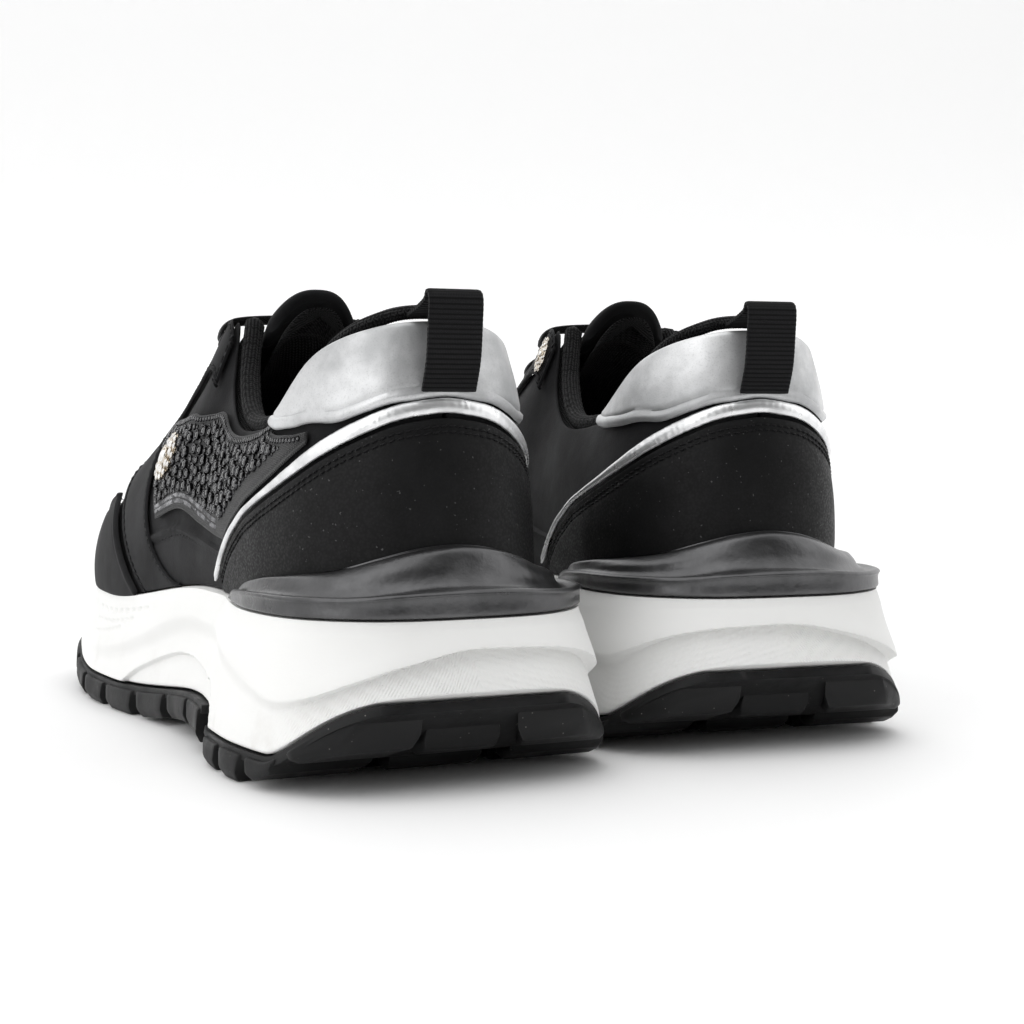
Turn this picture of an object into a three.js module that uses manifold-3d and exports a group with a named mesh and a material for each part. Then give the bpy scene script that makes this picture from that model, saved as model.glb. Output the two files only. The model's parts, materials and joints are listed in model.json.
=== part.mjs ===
// A pair of cheer shoes with thick two-step soles, in millimetres, +Z up, toes along +Y.
// Each shoe is drawn as a left shoe with its heel at y = 0 and its outer side on -X; the right shoe is its mirror.
import * as THREE from "three";
import { mergeVertices } from "three/addons/utils/BufferGeometryUtils.js";
import Module from "manifold-3d";

const wasm = await Module();
wasm.setup();

// ---- Driving sizes -------------------------------------------------------------------------------------------
const LENGTH_SCALE = 1; // stretches every outline along the shoe
const WIDTH_SCALE = 1; // stretches every outline across the shoe
const UPPER_HEIGHT = 75; // heel seat up to the collar at the back
const SEAT_HEIGHT = 45; // floor to the heel seat, on top of the midsole
const TOE_DROP = 9; // how much lower the seat is under the ball
const TREAD_DEPTH = 8; // lugs and rubber under the midsole at the heel
const TOE_SWING = 5; // how far the toe leans to the inner side

const SKIN = 1.6; // base layer of the upper
const OVERLAY = 1.3; // panels sewn over the base layer
const LINING = 1.7; // stiffeners and lining inside the base layer
const PADDING = 6; // collar foam and its knit
const TONGUE_THICKNESS = 5;
const TONGUE_LINING = 1.2;
const GAP = 0.6; // clearance between layers that lie on each other
const SEAM = 1.6; // clearance between panels that lie side by side

const BOARD = 2; // lasting board
const SOCKLINER = 4.2;
const PIPING_RADIUS = 1.5;
const BINDING_RADIUS = 1.6;
const WEBBING_WIDTH = 15;
const WEBBING_THICKNESS = 1.5;
const LOOP_REACH = 7.5; // finger room between the pull loop and the heel tab
const CLIP_RISE = 16; // moulded heel clip above the midsole, at the back
const CLIP_BAND = 5; // upright lower band of the clip
const RUBBER = 2.6; // outsole film that the lugs stand on
const LUG_GAP = 3.6;
const STONE_HEIGHT = 1.8;
const LACE_RADIUS = 1.1;
const LACE_ROWS = 5;
const EYELET_RADIUS = 1.9;

const PAIR_SPACING = 104 * WIDTH_SCALE; // heel centre to heel centre
const PAIR_STAGGER = 19; // right shoe ahead of the left one
const TOE_OUT = THREE.MathUtils.degToRad(3.2);

// ---- Outlines: the outer half of each loop, heel to toe, as [half width, y] and its height ----------------------
const SEAT_OUTLINE = [
  [0, -5], [16, -1], [28, 12], [33, 31], [33.5, 51], [33, 72], [33.5, 93], [35.5, 114],
  [38.5, 136], [41, 158], [42.5, 180], [41.5, 203], [35.5, 226], [22, 244], [0, 252],
];
const RIM_OUTLINE = [
  [0, 3], [12.5, 6], [22.5, 18], [27.5, 37], [29, 56], [28, 76], [24.5, 92], [19, 104],
  [16.5, 120], [14.5, 137], [13.5, 154], [12, 169], [8.5, 180], [4.5, 186], [0, 188],
];
const RIM_HEIGHT = [1, 0.98, 0.89, 0.67, 0.61, 0.63, 0.78, 1.05, 0.97, 0.84, 0.71, 0.59, 0.51, 0.47, 0.46];
const TREAD_OUTLINE = [
  [0, -27], [26, -24], [44, -8], [50, 18], [49.5, 45], [46, 70], [44, 93], [45.5, 114],
  [49, 136], [52.5, 158], [54, 181], [52, 206], [45, 233], [27, 256], [0, 263],
];
const STATIONS = SEAT_OUTLINE.length - 1;
const ROUND = 2 * STATIONS; // stations all the way round

const smooth = (from, to, x) => THREE.MathUtils.smoothstep(x, from, to);
const mix = THREE.MathUtils.lerp;
const at = (x, y, z) => new THREE.Vector3(x, y, z);

/** Height of the seat, where the upper meets the midsole. */
const seatHeight = (y) => SEAT_HEIGHT - TOE_DROP * smooth(85, 175, y) + 4 * smooth(205, 260, y);

/** Height of the midsole's lower edge: heel bevel, heel block, arch step and toe spring. */
function treadHeight(y) {
  const bevel = 17 * (1 - smooth(-31, 2, y));
  const arch = 6 * smooth(44, 54, y) * (1 - smooth(60, 150, y));
  const spring = 12 * smooth(175, 275, y);
  return TREAD_DEPTH + 1.5 + bevel + arch + spring;
}

/** Height of the lug faces: they touch the floor under the heel block and under the ball. */
function lugHeight(y) {
  const bevel = 14 * (1 - smooth(-32, 18, y));
  const arch = 5 * smooth(50, 62, y) * (1 - smooth(80, 140, y));
  const spring = 11 * smooth(182, 275, y);
  return bevel + arch + spring;
}

/** A closed smooth loop through an outline and its mirror image. */
function loop(outline, heights = outline.map(() => 0)) {
  const points = [];
  for (let i = 0; i < ROUND; i += 1) {
    const side = i <= STATIONS ? -1 : 1;
    const station = i <= STATIONS ? i : ROUND - i;
    const [half, along] = outline[station];
    const swing = TOE_SWING * smooth(95, 250, along);
    points.push(at(side * half * WIDTH_SCALE + swing, along * LENGTH_SCALE, heights[station]));
  }
  const curve = new THREE.CatmullRomCurve3(points, true, "catmullrom", 0.5);
  return (u) => curve.getPoint(THREE.MathUtils.euclideanModulo(u, ROUND) / ROUND);
}

/** The same loop with its height read off a function of the place along the shoe. */
const laid = (curve, height) => (u) => {
  const point = curve(u);
  return point.setZ(height(point.y / LENGTH_SCALE));
};

const seat = laid(loop(SEAT_OUTLINE), seatHeight);
const rim = loop(RIM_OUTLINE, RIM_HEIGHT.map((share) => SEAT_HEIGHT + UPPER_HEIGHT * share));
const tread = laid(loop(TREAD_OUTLINE), treadHeight);

/** Level direction that points out of the shoe at a station. */
function outward(u) {
  const along = seat(u + 0.1).sub(seat(u - 0.1));
  return at(-along.y, along.x, 0).normalize();
}

/** A point on the last: u runs round the shoe from the heel by the outer side, t from the seat up to the rim. */
function last(u, t) {
  const low = seat(u);
  const high = rim(u);
  const out = outward(u);
  const rise = high.z - low.z;
  const inset = Math.hypot(high.x - low.x, high.y - low.y);
  const droop = rise * (0.3 - 0.2 * smooth(110, 200, high.y));
  const lowHandle = low.clone().addScaledVector(out, 2.5).add(at(0, 0, 0.34 * rise));
  const highHandle = high.clone().addScaledVector(out, 2 + 0.5 * inset).add(at(0, 0, -droop));
  return new THREE.CubicBezierCurve3(low, lowHandle, highHandle, high).getPoint(t);
}

/** The last's outward normal. */
function lastNormal(u, t) {
  const step = 0.02;
  const around = last(u + step, t).sub(last(u - step, t));
  const up = last(u, Math.min(t + step, 1)).sub(last(u, Math.max(t - step, 0)));
  return up.cross(around).normalize();
}

/** A point above (or below) the last's surface. */
const onLast = (u, t, offset) => last(u, t).addScaledVector(lastNormal(u, t), offset);

// ---- Solids ----------------------------------------------------------------------------------------------------
/** A closed solid from sections with the same number of points, with fans of faces over its two ends. */
function skin(sections) {
  const count = sections[0].length;
  const corners = sections.flat();
  const faces = [];
  for (let i = 0; i < sections.length - 1; i += 1) {
    const here = i * count;
    const next = here + count;
    for (let j = 0; j < count; j += 1) {
      const k = (j + 1) % count;
      faces.push(here + j, next + k, next + j, here + j, here + k, next + k);
    }
  }
  const end = (sections.length - 1) * count;
  for (let j = 1; j < count - 1; j += 1) {
    faces.push(0, j + 1, j);
    faces.push(end, end + j, end + j + 1);
  }
  return outwardGeometry(corners, faces);
}

/** Level rings, lowest first, closed by ladders of faces between the outer and the inner side. */
function stack(rings) {
  const count = rings[0].length;
  const corners = rings.flat();
  const faces = [];
  for (let i = 0; i < rings.length - 1; i += 1) {
    for (let j = 0; j < count; j += 1) {
      const k = (j + 1) % count;
      const low = i * count;
      faces.push(low + j, low + k, low + count + k, low + j, low + count + k, low + count + j);
    }
  }
  const top = (rings.length - 1) * count;
  for (let j = 0; j < count / 2; j += 1) {
    const [a, b, c, d] = [j, j + 1, count - 1 - j, (count - j) % count];
    if (b !== c) faces.push(a, c, b, top + a, top + b, top + c);
    if (a !== d) faces.push(a, d, c, top + a, top + c, top + d);
  }
  return outwardGeometry(corners, faces);
}

/** Indexed geometry whose faces are turned so that its volume is positive. */
function outwardGeometry(corners, faces) {
  let volume = 0;
  for (let f = 0; f < faces.length; f += 3) {
    const [a, b, c] = [corners[faces[f]], corners[faces[f + 1]], corners[faces[f + 2]]];
    volume += a.dot(b.clone().cross(c));
  }
  const turned = volume < 0 ? faces.slice().reverse() : faces;
  const geometry = new THREE.BufferGeometry().setFromPoints(corners);
  geometry.setIndex(turned);
  geometry.computeVertexNormals();
  return geometry;
}

/** A value read smoothly off a short list of [u, value] points. */
function profile(points) {
  return (u) => {
    const i = Math.max(1, points.findIndex(([x]) => x >= u));
    if (u >= points.at(-1)[0]) return points.at(-1)[1];
    const [[x0, y0], [x1, y1]] = [points[i - 1], points[i]];
    return mix(y0, y1, THREE.MathUtils.clamp((u - x0) / (x1 - x0), 0, 1));
  };
}

/**
 * A sewn panel on the last. start and end are [u at its low edge, u at its high edge]; low and high give t at a u.
 * It is solid between two offsets from the last.
 */
function panel({ start, end, low, high, inner, outer, across, up }) {
  const sections = [];
  for (let i = 0; i <= across; i += 1) {
    const rows = [];
    for (let j = 0; j <= up; j += 1) {
      const u = mix(mix(start[0], start[1], j / up), mix(end[0], end[1], j / up), i / across);
      rows.push([u, mix(low(u), high(u), j / up)]);
    }
    const outside = rows.map(([u, t]) => onLast(u, t, outer));
    const inside = rows.map(([u, t]) => onLast(u, t, inner)).reverse();
    sections.push([...outside, ...inside]);
  }
  return slab(sections, up + 1);
}

/** A closed solid from sections that run out along one side and back along the other, with gridded ends. */
function slab(sections, half) {
  const count = 2 * half;
  const corners = sections.flat();
  const faces = [];
  for (let i = 0; i < sections.length - 1; i += 1) {
    for (let j = 0; j < count; j += 1) {
      const k = (j + 1) % count;
      const here = i * count;
      const next = here + count;
      faces.push(here + j, next + k, next + j, here + j, here + k, next + k);
    }
  }
  const end = (sections.length - 1) * count;
  for (let j = 0; j < half - 1; j += 1) {
    const [a, b, c, d] = [j, j + 1, count - 2 - j, count - 1 - j];
    faces.push(a, c, b, a, d, c);
    faces.push(end + a, end + b, end + c, end + a, end + c, end + d);
  }
  return outwardGeometry(corners, faces);
}

/** A round cord whose centre line runs through a list of points. */
function cord(points, radius, sides) {
  const tangents = points.map((unused, i) => {
    const before = points[Math.max(i - 1, 0)];
    const after = points[Math.min(i + 1, points.length - 1)];
    return after.clone().sub(before).normalize();
  });
  const spoke = at(0, 0, 1).cross(tangents[0]).normalize();
  const turn = new THREE.Quaternion();
  const sections = points.map((centre, i) => {
    if (i > 0) spoke.applyQuaternion(turn.setFromUnitVectors(tangents[i - 1], tangents[i]));
    const other = tangents[i].clone().cross(spoke);
    return Array.from({ length: sides }, (unused, j) => {
      const angle = (2 * Math.PI * j) / sides;
      const point = centre.clone().addScaledVector(spoke, radius * Math.cos(angle));
      return point.addScaledVector(other, radius * Math.sin(angle));
    });
  });
  return skin(sections);
}

/** Evenly spread values of a function of 0 to 1. */
const spread = (steps, value) => Array.from({ length: steps + 1 }, (unused, i) => value(i / steps));

/** The solid that a closed geometry bounds. */
function solidOf(geometry) {
  const bare = geometry.clone();
  bare.deleteAttribute("normal");
  bare.deleteAttribute("uv");
  const merged = mergeVertices(bare, 1e-4);
  const vertProperties = Float32Array.from(merged.attributes.position.array);
  const triVerts = Uint32Array.from(merged.index.array);
  return new wasm.Manifold(new wasm.Mesh({ numProp: 3, vertProperties, triVerts }));
}

/** The geometry that bounds a solid. */
function geometryOf(solid) {
  const { vertProperties, triVerts } = solid.getMesh();
  const geometry = new THREE.BufferGeometry();
  geometry.setAttribute("position", new THREE.BufferAttribute(vertProperties, 3));
  geometry.setIndex([...triVerts]);
  return geometry;
}

/** A ring of points round the shoe, evenly spaced over the stations. */
function ring(point, steps = 2 * ROUND) {
  return Array.from({ length: steps }, (unused, i) => point((i * ROUND) / steps));
}

// ---- Sole ------------------------------------------------------------------------------------------------------
/** How far the midsole's shelf stands out from the seat: wide round the heel, narrow at the forefoot. */
const shelfReach = (y) => mix(0.76, 0.3, smooth(22, 82, y));

/** The upper edge of the midsole's side, on which the clip and the upper stand. */
function shelf(u) {
  const low = tread(u);
  const high = seat(u);
  const point = high.clone().lerp(low, shelfReach(high.y));
  const least = high.clone().addScaledVector(outward(u), SKIN + OVERLAY + 3 * GAP + 0.6);
  const wide = Math.hypot(point.x - high.x, point.y - high.y) > Math.hypot(least.x - high.x, least.y - high.y);
  return (wide ? point : least).setZ(high.z - GAP - 0.6);
}

function midsole() {
  const belly = (u) => {
    const point = tread(u).lerp(shelf(u), 0.45);
    return point.addScaledVector(outward(u), -1.5 * smooth(40, 90, point.y));
  };
  const top = (u) => seat(u).addScaledVector(outward(u), 1).setZ(seat(u).z - GAP);
  return stack([ring(tread), ring(belly), ring(shelf), ring(top)]);
}

/** A level slice of rubber between two places along the shoe, following the midsole's lower edge. */
function film(from, to) {
  const level = (depth) => ring((u) => tread(u).add(at(0, 0, -depth)));
  const whole = solidOf(stack([level(GAP + RUBBER), level(GAP)]));
  const slice = new THREE.BoxGeometry(400, to - from, 200).translate(0, (from + to) / 2, 0);
  return whole.intersect(solidOf(slice));
}

/** Half the tread's width at a place along the shoe. */
function treadHalf(y) {
  const i = TREAD_OUTLINE.findIndex(([, along]) => along * LENGTH_SCALE >= y);
  if (i < 1) return 0;
  const [[x0, y0], [x1, y1]] = [TREAD_OUTLINE[i - 1], TREAD_OUTLINE[i]];
  return WIDTH_SCALE * mix(x0, x1, (y / LENGTH_SCALE - y0) / (y1 - y0));
}

/** One lug: a block from the rubber film down to the lug faces, narrower at its foot. */
function lug(from, to, side, inner, outer) {
  const corner = (y, share, top) => {
    const middle = TOE_SWING * smooth(95, 250, y);
    const x = middle + side * share * treadHalf(y) * (top ? 1 : 0.965);
    return at(x, y, top ? treadHeight(y) - GAP - RUBBER / 2 : lugHeight(y));
  };
  const slope = 0.6;
  const foot = [
    corner(from + slope, inner, false), corner(to - slope, inner, false),
    corner(to - slope, outer, false), corner(from + slope, outer, false),
  ];
  const head = [
    corner(from, inner, true), corner(to, inner, true), corner(to, outer, true), corner(from, outer, true),
  ];
  return solidOf(skin([foot, head]));
}

/** Rubber film with two rows of outer lugs and a row of middle ones. */
function outsole(from, to, pitch) {
  const first = from * LENGTH_SCALE;
  const final = to * LENGTH_SCALE;
  const rows = Math.max(1, Math.round((final - first) / pitch));
  const length = (final - first) / rows;
  let rubber = film(first, final);
  for (let row = 0; row < rows; row += 1) {
    const start = first + row * length + LUG_GAP / 2;
    const stop = first + (row + 1) * length - LUG_GAP / 2;
    for (const side of [-1, 1]) {
      rubber = rubber.add(lug(start, stop, side, 0.42, 0.97));
    }
    rubber = rubber.add(lug(start + LUG_GAP, stop, 1, -0.28, 0.28));
  }
  return geometryOf(rubber);
}

/** A flat piece inside the upper, between two heights above the seat. */
function footbed(low, high) {
  const inset = LINING + 4 * GAP;
  const level = (height) => ring((u) => seat(u).addScaledVector(outward(u), -inset).add(at(0, 0, height)));
  return stack([level(low), level(high)]);
}

/** The moulded clip round the heel: an upright band and a sloping face that rises at the back. */
function heelClip() {
  const tip = 4;
  const steps = 20;
  const sections = [];
  for (let i = 0; i <= steps; i += 1) {
    const u = mix(-tip, tip, i / steps);
    const share = 1 - Math.abs(u) / tip;
    const edge = shelf(u);
    const foot = edge.z + GAP;
    const wall = SKIN + OVERLAY + 3 * GAP;
    const peak = foot + 1 + CLIP_RISE * smooth(0, 0.9, share) ** 1.3;
    const band = foot + 0.8 + CLIP_BAND * smooth(0, 0.35, share);
    const face = onLast(u, (peak - foot) / UPPER_HEIGHT, wall);
    const root = onLast(u, 0, wall + 0.3);
    const shoulder = edge.clone().lerp(face, 0.35).setZ(mix(band, peak, 0.3));
    sections.push([
      edge.clone().setZ(foot),
      edge.clone().setZ(band),
      shoulder,
      face.setZ(Math.max(peak, band)),
      root.setZ(foot),
    ]);
  }
  return skin(sections);
}

// ---- Upper -----------------------------------------------------------------------------------------------------
const BASE = { inner: 0.6, outer: 0.6 + SKIN };
const TRIM = { inner: BASE.outer + GAP, outer: BASE.outer + GAP + OVERLAY };
const TOE_TRIM = { inner: TRIM.inner + 0.8 * GAP, outer: TRIM.outer + 0.8 * GAP }; // clears the toe's tight bend
const INSIDE = { inner: -LINING, outer: 0 };

const RIM_EDGE = 0.985;
const THROAT_EDGE = 0.85; // where the base layer ends beside the throat
const EYELET_LINE = 0.92;
const SEAM_SHARE = SEAM / UPPER_HEIGHT; // a seam's clearance as a share of t
const flat = (t) => () => t;

/** The line of the piping over the heel, as t at a station. */
const PIPING_LINE = profile([
  [0, 0.68], [0.75, 0.66], [1.3, 0.62], [2.2, 0.545], [3, 0.55], [3.65, 0.49], [4.3, 0.36], [4.8, 0.21], [5.3, 0.01],
]);
const PIPING_END = 5.2;
const pipingLine = (u) => PIPING_LINE(Math.abs(u));
const PIPING_CLEAR = (PIPING_RADIUS + SEAM) / UPPER_HEIGHT;

/** Lower edge of the silver heel tab. */
const TAB_LINE = profile([[0, 0.71], [0.8, 0.705], [1.6, 0.665], [2.3, 0.735], [2.8, 0.855], [3.1, 0.945]]);
const TAB_END = 3.05;

/** Upper edge of the base layer: up to the collar's edge, and cut back under the eyelets beside the throat. */
const baseEdge = (u) => {
  const station = STATIONS - Math.abs(STATIONS - Math.abs(u));
  return mix(RIM_EDGE, THROAT_EDGE, smooth(6.4, 7.1, station) * (1 - smooth(12, 13, station)));
};

function quarter(side) {
  const [start, end] = [0.03, 8.9].map((u) => side * u);
  return panel({
    start: [start, start], end: [end, end], low: flat(0), high: baseEdge, ...BASE, across: 17, up: 4,
  });
}

function vamp() {
  const start = 8.98;
  const end = ROUND - start;
  return panel({
    start: [start, start], end: [end, end], low: flat(0), high: baseEdge, ...BASE, across: 20, up: 6,
  });
}

function heelCounter() {
  const end = PIPING_END - 0.3;
  const high = (u) => pipingLine(u) - PIPING_CLEAR;
  return panel({ start: [-end, -end], end: [end, end], low: flat(0), high, ...TRIM, across: 22, up: 3 });
}

function piping() {
  const middle = TRIM.inner + PIPING_RADIUS;
  const route = (share) => {
    const u = mix(-PIPING_END, PIPING_END, share);
    return onLast(u, pipingLine(u), middle);
  };
  return cord(spread(26, route), PIPING_RADIUS, 5);
}

function heelTab() {
  const low = (u) => Math.max(TAB_LINE(Math.abs(u)), pipingLine(u) + PIPING_CLEAR);
  const high = (u) => Math.max(RIM_EDGE - 0.02, low(u) + SEAM_SHARE);
  return panel({
    start: [-TAB_END, -TAB_END], end: [TAB_END, TAB_END], low, high, ...TRIM, across: 16, up: 2,
  });
}

function crystalPanel() {
  const tab = (u) => (u < TAB_END ? TAB_LINE(u) : RIM_EDGE);
  const low = (u) => Math.max(pipingLine(u) + PIPING_CLEAR + SEAM_SHARE, mix(0.31, 0.27, smooth(4.6, 8.2, u)));
  const high = (u) => Math.min(tab(u) - 2 * SEAM_SHARE, mix(0.94, 0.7, smooth(5.4, 6.4, u)));
  return panel({ start: [2.05, 2.05], end: [7.9, 9.1], low, high, ...TRIM, across: 12, up: 3 });
}

function sideGuard(side) {
  const start = [6.8, 8.05].map((u) => side * u);
  const end = [8.25, 10.25].map((u) => side * u);
  const top = (u) => mix(0.24, 0.45, smooth(8, 10.5, Math.abs(u)));
  return panel({ start, end, low: flat(0), high: top, ...TRIM, across: 4, up: 3 });
}

function toeGuard() {
  const start = [8.5, 10.65];
  const end = start.map((u) => ROUND - u);
  const high = (u) => mix(0.47, 0.34, smooth(11, 14, STATIONS - Math.abs(STATIONS - u)));
  return panel({ start, end, low: flat(0), high, ...TOE_TRIM, across: 18, up: 3 });
}

/** The facing beside the throat, with its row of eyelets. */
function eyestay(side) {
  const [start, end] = [6.6, 12.9].map((u) => side * u);
  const low = (u) => mix(0.78, 0.72, smooth(7, 11, Math.abs(u)));
  const facing = panel({
    start: [start, start], end: [end, end], low, high: flat(RIM_EDGE - 0.01), ...TRIM, across: 10, up: 2,
  });
  let solid = solidOf(facing);
  for (let row = 0; row < LACE_ROWS; row += 1) {
    solid = solid.subtract(eyelet(side * laceStation(row)));
  }
  return geometryOf(solid);
}

/** The bore of one eyelet, square to the upper. */
function eyelet(u) {
  const bore = new THREE.CylinderGeometry(EYELET_RADIUS, EYELET_RADIUS, 12, 6);
  const turn = new THREE.Quaternion().setFromUnitVectors(at(0, 1, 0), lastNormal(u, EYELET_LINE));
  bore.applyQuaternion(turn);
  const centre = onLast(u, EYELET_LINE, TRIM.inner);
  return solidOf(bore.translate(centre.x, centre.y, centre.z));
}

/** A low dome of set stones on the upper, between two stations and two heights. */
function ornament(start, end, low, high) {
  const from = TRIM.outer + GAP;
  return panel({
    start: [start, start], end: [end, end], low: flat(low), high: flat(high), inner: from,
    outer: from + STONE_HEIGHT, across: 4, up: 3,
  });
}

function stiffener() {
  return panel({ start: [-3.2, -3.2], end: [3.2, 3.2], low: flat(0), high: flat(0.5), ...INSIDE, across: 14, up: 2 });
}

function lining(side) {
  const [start, end] = [3.3, 10.9].map((u) => side * u);
  return panel({ start: [start, start], end: [end, end], low: flat(0), high: flat(0.5), ...INSIDE, across: 14, up: 2 });
}

function toePuff() {
  const start = 11;
  return panel({
    start: [start, start], end: [ROUND - start, ROUND - start], low: flat(0), high: flat(0.45),
    inner: INSIDE.inner - GAP, outer: INSIDE.outer - GAP, across: 14, up: 3,
  });
}

const COLLAR_END = 6.9;
const paddingDepth = (u) => mix(PADDING, 0.7 * PADDING, smooth(5.2, COLLAR_END, Math.abs(u)));

/** Collar foam in its knit: thick at the rim, fading into the lining below. */
function collarPadding() {
  const steps = 26;
  const rows = [0.54, 0.7, 0.85, RIM_EDGE];
  const sections = [];
  for (let i = 0; i <= steps; i += 1) {
    const u = mix(-COLLAR_END, COLLAR_END, i / steps);
    const outside = rows.map((t) => onLast(u, t, INSIDE.outer));
    const inside = rows.map((t, row) => onLast(u, t, -LINING - paddingDepth(u) * Math.sin((row + 0.6) * 0.8) + 0.6));
    sections.push([...outside, ...inside.reverse()]);
  }
  return slab(sections, rows.length);
}

/** The knit roll along the collar's edge. */
function collarBinding() {
  const route = (share) => {
    const u = mix(-COLLAR_END, COLLAR_END, share);
    const up = last(u, 1).sub(last(u, 0.9)).normalize();
    return onLast(u, 1, -1.2).addScaledVector(up, BINDING_RADIUS + 2.5 * GAP);
  };
  return cord(spread(26, route), BINDING_RADIUS, 5);
}

// ---- Tongue, laces, loop ---------------------------------------------------------------------------------------
const TONGUE_TIP_RISE = 6;
const TONGUE_BASE = 12.4; // station of its sewn end
const TONGUE_TOP = 7;

const TONGUE_FREE = 0.86; // share of its length that lies under the throat, the rest stands free
const TONGUE_REACH = 13; // length of the free part
const LINING_DEPTH = TONGUE_THICKNESS + 1.5 * GAP;
const TONGUE_DEPTH = 2.2; // outer face under the upper's last

/** The tongue's cross-section at a share of its length, 0 at the sewn end and 1 at the tip. */
function tongueRow(share, depth) {
  const u = mix(TONGUE_BASE, TONGUE_TOP, Math.min(share / TONGUE_FREE, 1));
  const past = Math.max(share - TONGUE_FREE, 0) / (1 - TONGUE_FREE);
  const along = rim(TONGUE_TOP).sub(rim(TONGUE_TOP + 1));
  along.setX(0).normalize();
  const lift = at(0, -0.4 * depth * past, TONGUE_TIP_RISE * smooth(0.72, 1, share));
  lift.addScaledVector(along, TONGUE_REACH * past);
  const under = TONGUE_DEPTH + depth;
  const crown = rim(u).add(rim(-u)).multiplyScalar(0.5);
  const narrow = mix(1, 0.66, smooth(0.55, TONGUE_FREE, share));
  const edge = (sign, t) => {
    const point = onLast(sign * u, t, -under);
    return point.setX(mix(crown.x, point.x, narrow));
  };
  const middle = crown.add(at(0, -0.3 * depth, 1 - under));
  return [edge(1, 0.93), edge(1, 0.99), middle, edge(-1, 0.99), edge(-1, 0.93)].map((point) => point.add(lift));
}

/** A strip of the tongue between two depths under its outer face. */
function tongueLayer(from, to) {
  const steps = 10;
  const sections = [];
  for (let i = 0; i <= steps; i += 1) {
    const share = i / steps;
    sections.push([...tongueRow(share, from), ...tongueRow(share, to).reverse()]);
  }
  return slab(sections, 5);
}

/** Grosgrain loop from the collar's edge over to the piping, standing off the tab. */
function pullLoop() {
  const root = onLast(0, 0.72, TRIM.outer + GAP + WEBBING_THICKNESS);
  const crown = rim(0).add(at(0, -1, 2 * BINDING_RADIUS + 4 * GAP + WEBBING_THICKNESS / 2));
  const reach = root.y - LOOP_REACH + 2;
  const path = new THREE.CatmullRomCurve3(
    [
      root,
      at(root.x, reach + 1.2, root.z + 9),
      at(root.x, reach + 0.4, crown.z - 7),
      at(root.x, reach + 3, crown.z - 1),
      at(root.x, crown.y - 3, crown.z + 0.6),
      at(root.x, crown.y + 3.5, crown.z - 0.4),
    ],
    false,
    "centripetal",
  );
  const steps = 14;
  const sections = path.getSpacedPoints(steps).map((point, i) => {
    const along = path.getTangentAt(i / steps);
    const across = at(0, -along.z, along.y).multiplyScalar(WEBBING_THICKNESS / 2);
    const half = WEBBING_WIDTH / 2;
    return [[-1, -1], [1, -1], [1, 1], [-1, 1]].map(([x, side]) =>
      point.clone().addScaledVector(across, side).add(at(x * half, 0, 0)),
    );
  });
  return skin(sections);
}

/** Station of a lace row, from the top of the throat down. */
const laceStation = (row) => 7.5 + row * 1.05;

/** One lace, straight across the throat in every row, down through the eyelets and on under the facing. */
function lace() {
  const over = TRIM.outer + LACE_RADIUS + GAP;
  const under = TRIM.inner - LACE_RADIUS - GAP;
  const points = [];
  for (let row = 0; row < LACE_ROWS; row += 1) {
    const u = laceStation(row);
    const side = row % 2 === 0 ? 1 : -1;
    const crown = rim(u).add(rim(-u)).multiplyScalar(0.5).add(at(0, 0, over + 1.5));
    points.push(
      onLast(side * u, EYELET_LINE, under),
      onLast(side * u, EYELET_LINE, over),
      onLast(side * u, RIM_EDGE + 0.01, over + 0.8),
      crown,
      onLast(-side * u, RIM_EDGE + 0.01, over + 0.8),
      onLast(-side * u, EYELET_LINE, over),
      onLast(-side * u, EYELET_LINE, under),
    );
  }
  const path = new THREE.CatmullRomCurve3(points, false, "centripetal");
  return cord(path.getPoints(2 * (points.length - 1)), LACE_RADIUS, 5);
}

// ---- Materials -------------------------------------------------------------------------------------------------
const material = (color, roughness, metalness = 0) => ({ color, roughness, metalness });
const FINISH = {
  rubber: material(0x1c1c1d, 0.75),
  foam: material(0xf1f1ef, 0.6),
  clip: material(0x3a3a3c, 0.35, 0.2),
  nubuck: material(0x2a2a2b, 0.9),
  leather: material(0x1d1d1f, 0.5),
  silver: material(0xc9cbcc, 0.3, 0.8),
  piping: material(0xb7b9bb, 0.25, 0.6),
  knit: material(0x161617, 0.95),
  webbing: material(0x131314, 0.85),
  crystal: material(0x4a4a4d, 0.3, 0.3),
  stone: material(0xd9d2c4, 0.15, 0.5),
  board: material(0xb9a98c, 0.9),
  sock: material(0x232325, 0.9),
};

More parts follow.
